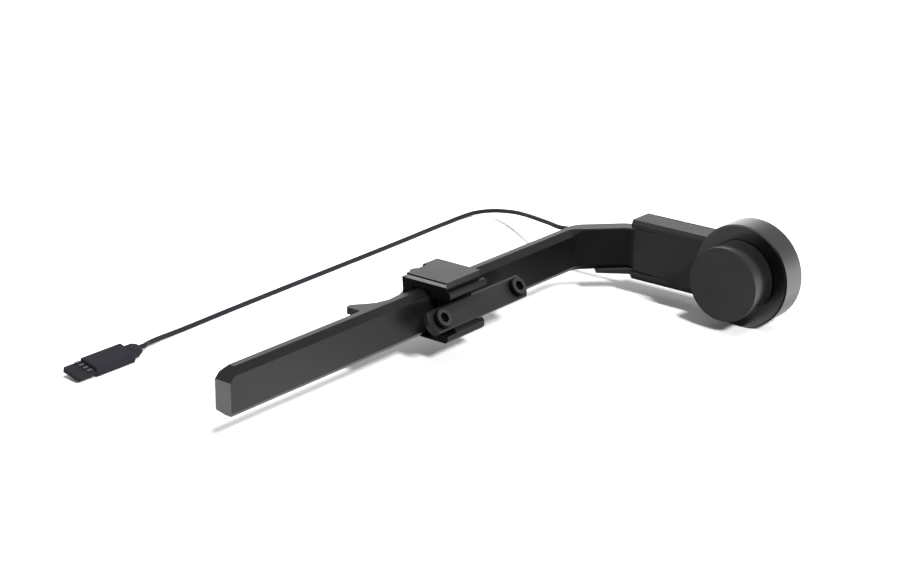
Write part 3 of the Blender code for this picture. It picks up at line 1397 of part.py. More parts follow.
def plug_outline(width, thickness, bevel):
    """The plug's bevelled section as (x, z)."""
    x = width / 2
    z = thickness / 2
    return [(x, -z + bevel), (x, z - bevel), (x - bevel, z), (-x + bevel, z), (-x, z - bevel),
            (-x, -z + bevel),
            (-x + bevel, -z), (x - bevel, -z)]


def build_collar(bm):
    """The plug's rear collar, eight-sided, narrower at the cable."""
    wide = plug_outline(PLUG_COLLAR_WIDTH, PLUG_COLLAR_THICKNESS, PLUG_BEVEL)
    narrow = plug_outline(PLUG_COLLAR_WIDTH * COLLAR_WIDTH_SHARE,
                          PLUG_COLLAR_THICKNESS * COLLAR_THICKNESS_SHARE,
                          PLUG_BEVEL)
    prism(bm, "Y", [(narrow, 0.0), (wide, -PLUG_COLLAR_LENGTH * COLLAR_TAPER_SHARE),
                    (wide, -PLUG_COLLAR_LENGTH)])


def build_plug_body(bm):
    """The plug's grip."""
    rear = -PLUG_COLLAR_LENGTH - FIT_GAP
    front = rear - PLUG_BODY_LENGTH
    outline = plug_outline(PLUG_WIDTH, PLUG_THICKNESS, PLUG_BEVEL)
    small = plug_outline(PLUG_WIDTH - PLUG_BEVEL, PLUG_THICKNESS - PLUG_BEVEL, PLUG_BEVEL / 2)
    prism(bm, "Y", [(small, rear), (outline, rear - PLUG_BEVEL / 2), (outline, front + PLUG_BEVEL / 2),
                    (small, front)])


def tongue_rear():
    return -PLUG_COLLAR_LENGTH - PLUG_BODY_LENGTH - 2 * FIT_GAP


def build_tongue(bm):
    """The flat tongue that goes into the socket."""
    half = TONGUE_WIDTH / 2
    rear = tongue_rear()
    front = rear - TONGUE_LENGTH
    edge = TONGUE_THICKNESS / 2
    outline = [(-half, rear), (-half, front + edge), (-half + edge, front), (half - edge, front),
               (half, front + edge),
               (half, rear)]
    prism(bm, "Z", [(outline, -TONGUE_THICKNESS / 2 - TONGUE_DROP),
                    (outline, TONGUE_THICKNESS / 2 - TONGUE_DROP)])


def contact(index):
    """One of the contacts that stand on the tongue's root."""
    def build(bm):
        rear = tongue_rear() - FIT_GAP
        low = TONGUE_THICKNESS / 2 - TONGUE_DROP + FIT_GAP / 6
        x = (index - (CONTACT_COUNT - 1) / 2) * CONTACT_PITCH - CONTACT_SHIFT
        block(bm, (x - CONTACT_WIDTH / 2, rear - CONTACT_LENGTH, low),
              (x + CONTACT_WIDTH / 2, rear, low + CONTACT_HEIGHT))
    return build


def make_cable():
    piece("strain_relief", build_boot, "cable_rubber")
    tube("cord", cord_points(), CORD_DIAMETER, "cable_rubber")
    tube("inner_lead", lead_points(), LEAD_DIAMETER, "cable_rubber")
    tube("sensor_lead", sensor_lead_points(), LEAD_DIAMETER, "cable_rubber")
    frame = bpy.data.objects.new("plug_frame", None)
    frame.parent = UNIT["origin"]
    frame.location = (PLUG_REAR[0], PLUG_REAR[1], PLUG_Z)
    frame.rotation_euler = (0.0, PLUG_ROLL, PLUG_YAW)
    bpy.context.scene.collection.objects.link(frame)
    piece("plug_collar", build_collar, "plug_plastic", parent=frame)
    piece("plug_body", build_plug_body, "plug_plastic", parent=frame)
    piece("plug_tongue", build_tongue, "plug_plastic", parent=frame)
    for index in range(CONTACT_COUNT):
        piece("plug_contact_" + str(index + 1), contact(index), "nickel_contact", parent=frame)


def main():
    clear_scene()
    origin = bpy.data.objects.new("unit_origin", None)
    origin.location = UNIT_SHIFT
    bpy.context.scene.collection.objects.link(origin)
    UNIT["origin"] = origin
    clamp_origin = Vector((-BAR_OFFSET, CLAMP_MIDDLE, 0.0))
    make_bar()
    make_disc()
    make_knob()
    make_box()
    make_clamp(clamp_origin)
    make_plate(clamp_origin)
    make_lever(clamp_origin)
    make_cable()


main()
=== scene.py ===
# %% [markdown]
# # A focus demand in black metal
# This lesson dresses a camera operator's focus demand: a control knob on a round housing, a cranked bar,
# a cam-lever clamp, a tilted mounting plate and a thin cable with a flat plug. The measured solids come
# in as a fixed frame, so every piece made here goes where the frame says, and nothing has to be fitted by
# eye.

# %% Load the measured frame
import json
import math

import bpy
from mathutils import Matrix, Vector

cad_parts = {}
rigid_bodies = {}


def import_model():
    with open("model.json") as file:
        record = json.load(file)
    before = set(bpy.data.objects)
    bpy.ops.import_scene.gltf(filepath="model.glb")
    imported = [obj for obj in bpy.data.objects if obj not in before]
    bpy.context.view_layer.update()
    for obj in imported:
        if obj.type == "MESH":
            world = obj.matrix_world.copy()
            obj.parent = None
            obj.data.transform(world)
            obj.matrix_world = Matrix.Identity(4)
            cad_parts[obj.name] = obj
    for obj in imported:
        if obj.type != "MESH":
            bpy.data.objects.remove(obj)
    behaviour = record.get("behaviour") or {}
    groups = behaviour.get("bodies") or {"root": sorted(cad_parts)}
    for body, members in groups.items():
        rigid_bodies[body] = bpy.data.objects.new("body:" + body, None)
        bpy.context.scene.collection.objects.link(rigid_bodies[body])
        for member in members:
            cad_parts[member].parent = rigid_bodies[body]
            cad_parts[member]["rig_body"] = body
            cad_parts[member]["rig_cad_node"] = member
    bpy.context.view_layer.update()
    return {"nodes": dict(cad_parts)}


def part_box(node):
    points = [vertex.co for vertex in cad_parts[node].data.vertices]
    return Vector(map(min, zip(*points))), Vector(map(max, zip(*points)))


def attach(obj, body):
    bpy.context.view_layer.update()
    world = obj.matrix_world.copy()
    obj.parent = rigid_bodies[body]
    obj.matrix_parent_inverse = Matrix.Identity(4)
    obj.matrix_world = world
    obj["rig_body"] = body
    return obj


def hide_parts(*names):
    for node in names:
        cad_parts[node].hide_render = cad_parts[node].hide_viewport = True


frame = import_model()

# %% [markdown]
# Operators act on everything that is selected, and a fresh import is selected all over. So each piece
# starts from an empty selection, and ends with its place in its mesh and its object at the origin.

# %% Habits for working with operators
def clear_selection():
    """Leave edit mode and let go of everything."""
    if bpy.context.object and bpy.context.object.mode != "OBJECT":
        bpy.ops.object.mode_set(mode="OBJECT")
    bpy.ops.object.select_all(action="DESELECT")


def select_only(thing):
    """Select one object and make it the active one."""
    clear_selection()
    thing.select_set(True)
    bpy.context.view_layer.objects.active = thing


def apply_place(thing):
    """Write an object's place, turn and size into its mesh."""
    select_only(thing)
    bpy.ops.object.transform_apply(location=True, rotation=True, scale=True)
    return thing


# %% [markdown]
# ## Camera
# The photograph was solved as a perspective view, so the camera takes the solved heading, elevation, roll
# and lens. The lens follows from the focal length in pixels and the picture's width.

# %% Camera at the photograph's viewing angle
PICTURE_WIDTH = 898
FOCAL_PIXELS = 1983
SENSOR_WIDTH = 36.0
CLIP_NEAR = 0.01
CLIP_FAR = 20.0
CAMERA_PLACE = Vector((0.36678, -0.48405, 0.25105))
CAMERA_HEADING = math.radians(39.2)
CAMERA_ELEVATION = math.radians(19.84)
CAMERA_ROLL = math.radians(-0.18)

bpy.ops.object.camera_add(location=CAMERA_PLACE)
camera = bpy.context.object
camera.name = "studio_camera"
camera.data.sensor_width = SENSOR_WIDTH
camera.data.lens = SENSOR_WIDTH * FOCAL_PIXELS / PICTURE_WIDTH
camera.data.clip_start = CLIP_NEAR
camera.data.clip_end = CLIP_FAR
flat_heading = Vector((-math.sin(CAMERA_HEADING), math.cos(CAMERA_HEADING), 0.0))
straight_down = Vector((0.0, 0.0, -1.0))
right = Vector((math.cos(CAMERA_HEADING), math.sin(CAMERA_HEADING), 0.0))
forward = flat_heading * math.cos(CAMERA_ELEVATION) + straight_down * math.sin(CAMERA_ELEVATION)
down = forward.cross(right)
rolled_right = right * math.cos(CAMERA_ROLL) + down * math.sin(CAMERA_ROLL)
rolled_down = down * math.cos(CAMERA_ROLL) - right * math.sin(CAMERA_ROLL)
turn = Matrix((rolled_right, -rolled_down, -forward)).transposed()
camera.rotation_euler = turn.to_euler()
bpy.context.scene.camera = camera
print("lens in mm:", round(camera.data.lens, 2))

# %% [markdown]
# ## Cable
# The cable is a thin, fairly stiff lead. It leaves the box to the left, turns round in one wide bend and
# lies on the floor until it reaches the plug. The route is a few given points.

# %% The cable's route, in metres
CABLE_DIAMETER = 0.0017
CABLE_STEP = 0.0018
CABLE_ROUND = 5
CABLE_ROUTE = [
    (-0.024725, 0.098350, 0.018750), (-0.028125, 0.098350, 0.018750), (-0.035425, 0.098250, 0.018550),
    (-0.042925, 0.098450, 0.018050), (-0.049825, 0.099050, 0.017250), (-0.056425, 0.101150, 0.016050),
    (-0.063525, 0.105650, 0.014750), (-0.071925, 0.111250, 0.012950), (-0.083725, 0.118650, 0.010550),
    (-0.095025, 0.125250, 0.008050), (-0.103425, 0.129150, 0.005950), (-0.109925, 0.131350, 0.004350),
    (-0.115925, 0.131790, 0.002850), (-0.120425, 0.129250, 0.001750), (-0.122125, 0.123250, 0.001150),
    (-0.122270, 0.114650, 0.000950), (-0.122025, 0.105250, 0.000950), (-0.121125, 0.086250, 0.000950),
    (-0.120225, 0.061450, 0.000950), (-0.119425, 0.034650, 0.000950), (-0.118625, 0.009450, 0.000950),
    (-0.117725, -0.014750, 0.000950), (-0.116425, -0.039450, 0.001050), (-0.115025, -0.051250, 0.001750),
    (-0.113325, -0.059150, 0.002350), (-0.111716, -0.061350, 0.002883), (-0.111716, -0.064450, 0.002883),
]
print("route points:", len(CABLE_ROUTE))

# %% [markdown]
# Straight lines between those points would show as kinks. A smooth spline passes through every one of
# them, and the lead's points are read from it at short, nearly even steps.

# %% A smooth curve through the route
def smooth_route(points, step):
    """Points read along a smooth curve through the given ones."""
    path = [Vector(point) for point in points]
    path = [2 * path[0] - path[1]] + path + [2 * path[-1] - path[-2]]
    result = []
    for index in range(1, len(path) - 2):
        before, here, after, beyond = path[index - 1:index + 3]
        parts = max(1, round((after - here).length / step))
        for part in range(parts):
            t = part / parts
            bend = 2 * before - 5 * here + 4 * after - beyond
            twist = 3 * here - before - 3 * after + beyond
            result.append(0.5 * (2 * here + (after - before) * t + bend * t ** 2 + twist * t ** 3))
    result.append(path[-2])
    return result


cable_points = smooth_route(CABLE_ROUTE, CABLE_STEP)

# %% [markdown]
# The lead itself is a poly curve with a round bevel. It stays a curve, so its thickness is one value that
# is easy to change.

# %% The lead as a round curve
cable_curve = bpy.data.curves.new("cable", "CURVE")
cable_curve.dimensions = "3D"
cable_curve.bevel_depth = CABLE_DIAMETER / 2
cable_curve.bevel_resolution = CABLE_ROUND
cable_curve.use_fill_caps = True
spline = cable_curve.splines.new("POLY")
spline.points.add(len(cable_points) - 1)
for spot, place in zip(spline.points, cable_points):
    spot.co = (*place, 1.0)
spline.use_smooth = True
cable = bpy.data.objects.new("cable", cable_curve)
bpy.context.scene.collection.objects.link(cable)
print("cable made:", cable.name)

# %% [markdown]
# ## Finishes
# Almost every piece is black, and what tells them apart is gloss and grain. Anodised aluminium is satin
# with a fine even grain, moulded plastic is duller with a soft leathery grain, and the rubber lead is
# smooth. The grain is one shared node group, so each finish only states its size and strength.

# %% Shared grain group
GRAIN_DETAIL = 3.0
CLOUD_DETAIL = 4.0


def grain_group():
    """A node group: a fine grain for bump, and a slow variation for colour and gloss."""
    group = bpy.data.node_groups.new("fine_grain", "ShaderNodeTree")
    face = group.interface
    face.new_socket("Coordinates", in_out="INPUT", socket_type="NodeSocketVector")
    face.new_socket("Grain Scale", in_out="INPUT", socket_type="NodeSocketFloat")
    face.new_socket("Cloud Scale", in_out="INPUT", socket_type="NodeSocketFloat")
    face.new_socket("Height", in_out="OUTPUT", socket_type="NodeSocketFloat")
    face.new_socket("Cloud", in_out="OUTPUT", socket_type="NodeSocketFloat")
    start = group.nodes.new("NodeGroupInput")
    end = group.nodes.new("NodeGroupOutput")
    layers = ((GRAIN_DETAIL, "Grain Scale", "Height"), (CLOUD_DETAIL, "Cloud Scale", "Cloud"))
    for detail, scale, output in layers:
        noise = group.nodes.new("ShaderNodeTexNoise")
        noise.inputs["Detail"].default_value = detail
        group.links.new(start.outputs["Coordinates"], noise.inputs["Vector"])
        group.links.new(start.outputs[scale], noise.inputs["Scale"])
        group.links.new(noise.outputs["Fac"], end.inputs[output])
    return group


GRAIN = grain_group()
print("shared group:", GRAIN.name)

# %% [markdown]
# A finish is made of a Principled shader whose colour and roughness wander a little with the slow cloud,
# and a bump that carries the fine grain. Constants such as metallic stay on the shader's own sockets.

# %% A finish from a few values
CLOUD_SCALE = 60.0
CLOUD_LOW = 0.30
CLOUD_HIGH = 0.70


def finish(name, dark, light, rough, spread, grain, depth, metallic=0.0, specular=0.5):
    """Build one procedural finish. dark and light are the two ends of its colour."""
    material = bpy.data.materials.new(name)
    material.use_nodes = True
    nodes = material.node_tree.nodes
    links = material.node_tree.links
    shader = nodes["Principled BSDF"]
    shader.inputs["Metallic"].default_value = metallic
    shader.inputs["Specular IOR Level"].default_value = specular
    where = nodes.new("ShaderNodeTexCoord")
    pattern = nodes.new("ShaderNodeGroup")
    pattern.node_tree = GRAIN
    pattern.inputs["Grain Scale"].default_value = grain
    pattern.inputs["Cloud Scale"].default_value = CLOUD_SCALE
    tone = nodes.new("ShaderNodeValToRGB")
    for stop, position, colour in zip(tone.color_ramp.elements, (CLOUD_LOW, CLOUD_HIGH), (dark, light)):
        stop.position = position
        stop.color = (*colour, 1.0)
    gloss = nodes.new("ShaderNodeMapRange")
    gloss.inputs["From Min"].default_value = CLOUD_LOW
    gloss.inputs["From Max"].default_value = CLOUD_HIGH
    gloss.inputs["To Min"].default_value = rough - spread
    gloss.inputs["To Max"].default_value = rough + spread
    bump = nodes.new("ShaderNodeBump")
    bump.inputs["Strength"].default_value = 1.0
    bump.inputs["Distance"].default_value = depth
    links.new(where.outputs["Object"], pattern.inputs["Coordinates"])
    links.new(pattern.outputs["Cloud"], tone.inputs["Fac"])
    links.new(pattern.outputs["Cloud"], gloss.inputs["Value"])
    links.new(pattern.outputs["Height"], bump.inputs["Height"])
    links.new(tone.outputs["Color"], shader.inputs["Base Color"])
    links.new(gloss.outputs["Result"], shader.inputs["Roughness"])
    links.new(bump.outputs["Normal"], shader.inputs["Normal"])
    material.diffuse_color = (*light, 1.0)
    return material


# %% [markdown]
# The metal pieces come first. The anodised black is the darkest, and the plate is a touch lighter. The
# bar's free end and the clamp's narrow land are lighter still, as painted light. The round housing is
# treated as dark metal, because its rim shows a long soft streak of light in the photograph.

# %% Metal finishes
ANODISED = finish("black_anodised", (0.0030, 0.0030, 0.0032), (0.0050, 0.0050, 0.0053),
                  rough=0.34, spread=0.03, grain=2600.0, depth=0.000010, specular=0.42)
PLATE_BLACK = finish("plate_black", (0.0085, 0.0085, 0.0088), (0.0110, 0.0110, 0.0113),
                     rough=0.34, spread=0.03, grain=2600.0, depth=0.000010, specular=0.46)
# Painted light for the bar's free end.
END_PAINTED_LIGHT = finish("painted_light_end", (0.055, 0.055, 0.057), (0.075, 0.075, 0.078),
                  rough=0.36, spread=0.04, grain=2600.0, depth=0.000010, specular=0.75)
# Painted highlight for the land under the clamp's top.
LAND_PAINTED_HIGHLIGHT = finish("painted_highlight_land", (0.16, 0.16, 0.165), (0.21, 0.21, 0.216),
                    rough=0.34, spread=0.04, grain=2600.0, depth=0.000010, specular=0.60)
TURNED = finish("turned_black", (0.135, 0.135, 0.139), (0.165, 0.165, 0.170),
                rough=0.22, spread=0.03, grain=1800.0, depth=0.000006, metallic=1.0)
SCREW_BLACK = finish("black_oxide", (0.012, 0.012, 0.0125), (0.020, 0.020, 0.021),
                     rough=0.36, spread=0.05, grain=2400.0, depth=0.000008, specular=0.45)
STEEL = finish("bright_steel", (0.50, 0.50, 0.51), (0.60, 0.60, 0.61),
               rough=0.28, spread=0.06, grain=1500.0, depth=0.000008, metallic=1.0)
CONTACT = finish("nickel_contact", (0.22, 0.21, 0.21), (0.30, 0.29, 0.29),
                 rough=0.42, spread=0.05, grain=1500.0, depth=0.000006, metallic=1.0)
print("metal finishes:", len(bpy.data.materials))

# %% [markdown]
# The knob's face is dull and its side is smoother, so the side shows light by the face and fades to black
# at the housing. The cable and plug are nearly matt with a faint violet cast. The painted shade is a
# near-black colour painted where shade falls: in a screw's socket, on its side and on the clamp's near end.

# %% Plastic, rubber and other finishes
KNOB_BLACK = finish("knob_black", (0.013, 0.013, 0.0135), (0.017, 0.017, 0.0175),
                    rough=0.50, spread=0.04, grain=3200.0, depth=0.000014, specular=0.45)
KNOB_SIDE = finish("knob_side", (0.005, 0.005, 0.0052), (0.008, 0.008, 0.0083),
                   rough=0.19, spread=0.03, grain=3200.0, depth=0.000006, specular=0.50)
# Painted shade for sockets, screw sides and the clamp's near end.
PAINTED_SHADE = finish("painted_shade_black", (0.0012, 0.0012, 0.0012), (0.0020, 0.0020, 0.0020),
                      rough=0.60, spread=0.04, grain=2400.0, depth=0.000008, specular=0.15)
LINER_BLACK = finish("liner_black", (0.006, 0.006, 0.0062), (0.009, 0.009, 0.0093),
                     rough=0.45, spread=0.04, grain=1200.0, depth=0.000010, specular=0.30)
MOULDED = finish("moulded_black", (0.010, 0.010, 0.0103), (0.014, 0.014, 0.0144),
                 rough=0.42, spread=0.04, grain=2200.0, depth=0.000014, specular=0.45)
CABLE_BLACK = finish("cable_rubber", (0.010, 0.009, 0.012), (0.014, 0.013, 0.017),
                     rough=0.60, spread=0.05, grain=1600.0, depth=0.000012, specular=0.20)
PLUG_BLACK = finish("plug_plastic", (0.011, 0.010, 0.014), (0.015, 0.014, 0.018),
                    rough=0.62, spread=0.05, grain=2000.0, depth=0.000016, specular=0.15)
BOARD = finish("coated_board", (0.012, 0.075, 0.038), (0.024, 0.130, 0.066),
               rough=0.45, spread=0.06, grain=900.0, depth=0.00002)
FELT = finish("grey_felt", (0.060, 0.060, 0.058), (0.150, 0.150, 0.142),
              rough=0.92, spread=0.03, grain=5200.0, depth=0.00015)
ACETAL = finish("white_acetal", (0.52, 0.52, 0.50), (0.64, 0.64, 0.61),
                rough=0.42, spread=0.05, grain=1200.0, depth=0.00001)
print("all finishes:", len(bpy.data.materials))

# %% [markdown]
# ## Choosing by place
# A cut by hand starts with a click on the right face or point. Here a small test on place or normal does
# the clicking, so the same cut finds its faces again on every run.

# %% Select or repaint by a test
def pick(thing, kind, wanted):
    """Go into edit mode with only the points or faces that pass a test selected, and count them."""
    select_only(thing)
    bpy.ops.object.mode_set(mode="EDIT")
    bpy.ops.mesh.select_mode(type=kind)
    bpy.ops.mesh.select_all(action="DESELECT")
    bpy.ops.object.mode_set(mode="OBJECT")
    parts = thing.data.vertices if kind == "VERT" else thing.data.polygons
    for part in parts:
        part.select = wanted(part)
    count = sum(part.select for part in parts)
    bpy.ops.object.mode_set(mode="EDIT")
    return count


def repaint(thing, material, wanted):
    """Give the faces that pass a test one more finish."""
    clear_selection()
    thing.data.materials.append(material)
    faces = [face for face in thing.data.polygons if wanted(face)]
    for face in faces:
        face.material_index = len(thing.data.materials) - 1
    print(thing.name, "faces in", material.name + ":", len(faces))


# %% [markdown]
# ## Pieces from the frame
# Where the measured solid already has the right shape, its copy only needs what a machinist gives the
# real piece: a small round on every edge. A Bevel modifier rolls the edges, and the rounds catch the
# light, which makes black metal readable. Weighted normals then keep the wide faces flat, so only the
# rounds shade softly.

# %% Dress a piece, and roll its edges
ROLL_STEPS = 3
SMOOTH_LIMIT = math.radians(35.0)


def dress(thing, body, material, *nodes):
    """Give a finished piece its finish, its body and the nodes that it stands for."""
    thing.data.materials.clear()
    thing.data.materials.append(material)
    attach(thing, body)
    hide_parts(*nodes)
    return thing


def roll_edges(thing, width, limit):
    """Round every edge that turns by more than the limit, and keep the wide faces flat."""
    bevel = thing.modifiers.new("rolled_edges", "BEVEL")
    bevel.width = width
    bevel.segments = ROLL_STEPS
    bevel.limit_method = "ANGLE"
    bevel.angle_limit = limit
    bevel.use_clamp_overlap = True
    bpy.ops.object.modifier_apply(modifier=bevel.name)
    bpy.ops.object.shade_smooth_by_angle(angle=SMOOTH_LIMIT)
    weigh = thing.modifiers.new("flat_faces", "WEIGHTED_NORMAL")
    weigh.keep_sharp = True
    bpy.ops.object.modifier_apply(modifier=weigh.name)


# %% [markdown]
# A CAD node's mesh is loose triangles. It is left as it is, and a duplicate of it is merged. Dissolving
# the seams between triangles that lie flat together leaves only real edges for the Bevel modifier to
# find.

# %% Copy a node and round its edges
MERGE_DISTANCE = 0.000002
FLAT_SEAM = math.radians(0.4)
COPY_LIMIT = math.radians(28.0)


def rounded_copy(node, name, body, material, width, first_cut=None):
    """A copy of a CAD node with its edges rolled over. first_cut shapes the sharp copy before that."""
    select_only(frame["nodes"][node])
    bpy.ops.object.duplicate()
    copy = bpy.context.object
    copy.name = name
    copy.data.name = name
    copy.parent = None
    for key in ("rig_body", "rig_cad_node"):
        del copy[key]
    if copy.data.has_custom_normals:
        bpy.ops.mesh.customdata_custom_splitnormals_clear()
    bpy.ops.object.mode_set(mode="EDIT")
    bpy.ops.mesh.select_all(action="SELECT")
    bpy.ops.mesh.remove_doubles(threshold=MERGE_DISTANCE)
    bpy.ops.mesh.dissolve_limited(angle_limit=FLAT_SEAM)
    bpy.ops.object.mode_set(mode="OBJECT")
    if first_cut:
        first_cut(copy)
        bpy.ops.object.mode_set(mode="OBJECT")
    roll_edges(copy, width, COPY_LIMIT)
    dress(copy, body, material, node)
    print(name, "faces:", len(copy.data.polygons))
    return copy


# %% [markdown]
# The bar and the box get a round of 0.3 mm. The covers and the boot round the cable get a finer one, and
# the housing's is the finest, because its edge looks nearly sharp in the photograph.

# %% Bar, box and round housing
EDGE_ROUND = 0.00030
FINE_ROUND = 0.00012
bar_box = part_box("bar")
bar = rounded_copy("bar", "cranked_bar", "arm", ANODISED, EDGE_ROUND)
box = rounded_copy("box_shell", "box_front", "arm", MOULDED, EDGE_ROUND)
rounded_copy("box_cover", "box_lid", "arm", MOULDED, FINE_ROUND)
rounded_copy("wheel_housing", "round_housing", "arm", TURNED, FINE_ROUND / 2)
rounded_copy("wheel_rear_cover", "housing_lid", "arm", ANODISED, FINE_ROUND)
rounded_copy("strain_relief", "cable_boot", "arm", CABLE_BLACK, FINE_ROUND)

# %% [markdown]
# The clamp's end shows a narrow light land just under its top, with black above it and by the bar. Here
# the whole end gets painted shade but for the land, which two level cuts mark out on the sharp copy and
# which gets a painted highlight. The top slab is then drawn back a little, as far as the photograph shows
# it.

# %% Clamp block
clamp_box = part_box("clamp_body")
SLAB_LOW = 0.0276
SLAB_REAR = -0.0350
SLAB_GROWTH = 0.0016
LAND_HEIGHTS = (0.0006, 0.0017)
FACING = -0.9


def mark_out_land(thing):
    """Cut two level lines into the clamp's outer faces, just under its top."""
    for height in LAND_HEIGHTS:
        select_only(thing)
        bpy.ops.object.mode_set(mode="EDIT")
        bpy.ops.mesh.select_all(action="SELECT")
        bpy.ops.mesh.bisect(plane_co=(0.0, 0.0, clamp_box[1].z - height), plane_no=(0.0, 0.0, 1.0))


def on_clamp_end(face):
    """Whether a face belongs to the clamp's near end."""
    return face.normal.y < FACING and face.center.y < clamp_box[0].y + EDGE_ROUND


def on_land(face):
    """Whether a face belongs to the land under the clamp's top."""
    return on_clamp_end(face) and LAND_HEIGHTS[0] < clamp_box[1].z - face.center.z < LAND_HEIGHTS[1]


clamp = rounded_copy("clamp_body", "clamp_block", "clamp", ANODISED, EDGE_ROUND, first_cut=mark_out_land)
moved = pick(clamp, "VERT", lambda point: point.co.z > SLAB_LOW and point.co.x < SLAB_REAR)
bpy.ops.transform.translate(value=(-SLAB_GROWTH, 0.0, 0.0))
print("slab points moved:", moved)
# Painted shade on the clamp's near end, and a painted highlight on the land under its top.
repaint(clamp, PAINTED_SHADE, on_clamp_end)
repaint(clamp, LAND_PAINTED_HIGHLIGHT, on_land)

# %% [markdown]
# The plate, the cam lever and its pin only need their rounds. On the two captive screws the ring-shaped
# face takes the light, while the side and the socket get painted shade, which is how the photograph shows
# them.

# %% Plate, lever, pin and captive screws
SCREW_AXIS = Vector((0.809017, 0.0, 0.587785))
FACE_ALIGN = 0.80


def make_captive_screw(number):
    """One captive screw, with painted shade on its side and in its socket."""
    screw = rounded_copy("mount_screw_" + number, "captive_screw_" + number, "clamp", SCREW_BLACK,
                         FINE_ROUND)
    front = max(point.co.dot(SCREW_AXIS) for point in screw.data.vertices)

    def off_the_face(face):
        """Whether a face of the screw isn't on the front of its head."""
        depth = front - face.center.dot(SCREW_AXIS)
        return face.normal.dot(SCREW_AXIS) < FACE_ALIGN or depth > EDGE_ROUND * 2

    # Painted shade on the screw's side and in its socket.
    repaint(screw, PAINTED_SHADE, off_the_face)


rounded_copy("mount_plate", "tilted_plate", "clamp", PLATE_BLACK, EDGE_ROUND / 2)
rounded_copy("lock_lever", "cam_lever", "lever", ANODISED, EDGE_ROUND)
rounded_copy("lever_pin", "lever_pin_head", "clamp", SCREW_BLACK, FINE_ROUND)
for number in ("1", "2"):
    make_captive_screw(number)

# %% [markdown]
# The plug steps down from a neck round the cable to a flat housing and a thin blade that carries the
# contacts. The blade's rounds are half as wide, so that its thin edges stay crisp.

# %% Plug
plug_collar = rounded_copy("plug_collar", "plug_neck", "arm", PLUG_BLACK, FINE_ROUND)
plug_body = rounded_copy("plug_body", "plug_housing", "arm", PLUG_BLACK, FINE_ROUND)
plug_tongue = rounded_copy("plug_tongue", "plug_blade", "arm", PLUG_BLACK, FINE_ROUND / 2)

# %% [markdown]
# In the photograph the bar's seat in the box hardly shows as a seam. The solids keep a small clearance
# there, so the copy's edges are drawn out over it by less than a millimetre, and that part takes the
# box's finish.

# %% Close the seat of the bar
SEAT_START = -0.0135
SEAT_FRONT = 0.0800
SEAT_GROWTH = 0.00070
SEAT_PROUD = 0.00002
bar_middle = (bar_box[0].z + bar_box[1].z) / 2


def in_seat(place):
    """Whether a place on the bar lies in its seat."""
    return place.x > SEAT_START and place.y > SEAT_FRONT


for side in (-1.0, 1.0):
    moved = pick(bar, "VERT", lambda point: in_seat(point.co) and (point.co.z - bar_middle) * side > 0)
    bpy.ops.transform.translate(value=(0.0, -SEAT_PROUD / 2, side * SEAT_GROWTH))
    print("seat points moved:", moved)
moved = pick(bar, "VERT", lambda point: point.co.x > bar_box[1].x - EDGE_ROUND * 2)
bpy.ops.transform.translate(value=(SEAT_GROWTH, 0.0, 0.0))
print("inner end points moved:", moved)
repaint(bar, MOULDED, lambda face: in_seat(face.center))

# %% [markdown]
# The joint between box and round housing is as tight in the photograph, so the box's curved edge is drawn
# out over the housing's rim in the same way. The points to move are those that lie close to the rim's
# circle.

# %% Close the joint of the housing
housing_low, housing_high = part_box("wheel_housing")
housing_middle = (housing_low + housing_high) / 2
housing_radius = (housing_high.z - housing_low.z) / 2
JOINT_REACH = 0.0012
JOINT_GROWTH = 0.0009


def near_housing(point):
    """Whether a point of the box stands at the housing's edge."""
    offset = point.co - housing_middle
    return Vector((offset.x, offset.z)).length - housing_radius < JOINT_REACH


moved = pick(box, "VERT", near_housing)
bpy.ops.transform.translate(value=(JOINT_GROWTH, -SEAT_PROUD, 0.0))
print("joint points moved:", moved)

# %% [markdown]
# The bar's free end looks lighter than its sides in the photograph. Its faces, and the rolled edge round
# them, get a lighter colour of their own: painted light for the light that the end face reflects.

# %% Paint light on the bar's free end
END_DEPTH = 0.00045
repaint(bar, END_PAINTED_LIGHT, lambda face: face.center.y < bar_box[0].y + END_DEPTH)

# %% [markdown]
# ## Knob
# The knob is a plain turned drum with a cap let into its face. It starts as a fine cylinder, its face is
# inset to the cap's edge, and a hair-fine groove is pressed in round the cap.

# %% Turn the knob
KNOB_SIDES = 160
CAP_LINE = 0.00008
CAP_DEPTH = 0.00010
knob_low, knob_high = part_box("knob")
cap_low, cap_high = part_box("knob_cap")
knob_middle = (knob_low + knob_high) / 2
knob_radius = (knob_high.x - knob_low.x) / 2
cap_radius = (cap_high.x - cap_low.x) / 2
clear_selection()
bpy.ops.mesh.primitive_cylinder_add(vertices=KNOB_SIDES, radius=knob_radius, depth=knob_high.y - knob_low.y,
                                    location=knob_middle, rotation=(math.pi / 2, 0.0, 0.0))
knob = apply_place(bpy.context.object)
knob.name = "control_knob"
pick(knob, "FACE", lambda face: face.normal.y < FACING)
bpy.ops.mesh.inset(thickness=knob_radius - cap_radius)
bpy.ops.mesh.inset(thickness=CAP_LINE)
bpy.ops.transform.translate(value=(0.0, CAP_DEPTH, 0.0))
bpy.ops.mesh.inset(thickness=CAP_LINE)
bpy.ops.transform.translate(value=(0.0, -CAP_DEPTH, 0.0))
bpy.ops.object.mode_set(mode="OBJECT")
print("knob radius in mm:", round(knob_radius * 1000, 2))

# %% [markdown]
# Its square edges are rolled like those of the copies. The limit is wide, so gentler turns, such as those
# between the narrow strips of the drum's side, stay as they are. The side then gets the smoother finish.

# %% Round and dress the knob
KNOB_LIMIT = math.radians(60.0)
SIDEWAYS = 0.5
roll_edges(knob, EDGE_ROUND, KNOB_LIMIT)
dress(knob, "knob", KNOB_BLACK, "knob", "knob_cap")
repaint(knob, KNOB_SIDE, lambda face: abs(face.normal.y) < SIDEWAYS)

# %% [markdown]
# ## Nodes that keep their own shape
# The pieces inside and behind only need a real finish. They are listed with the finish that each one
# gets.

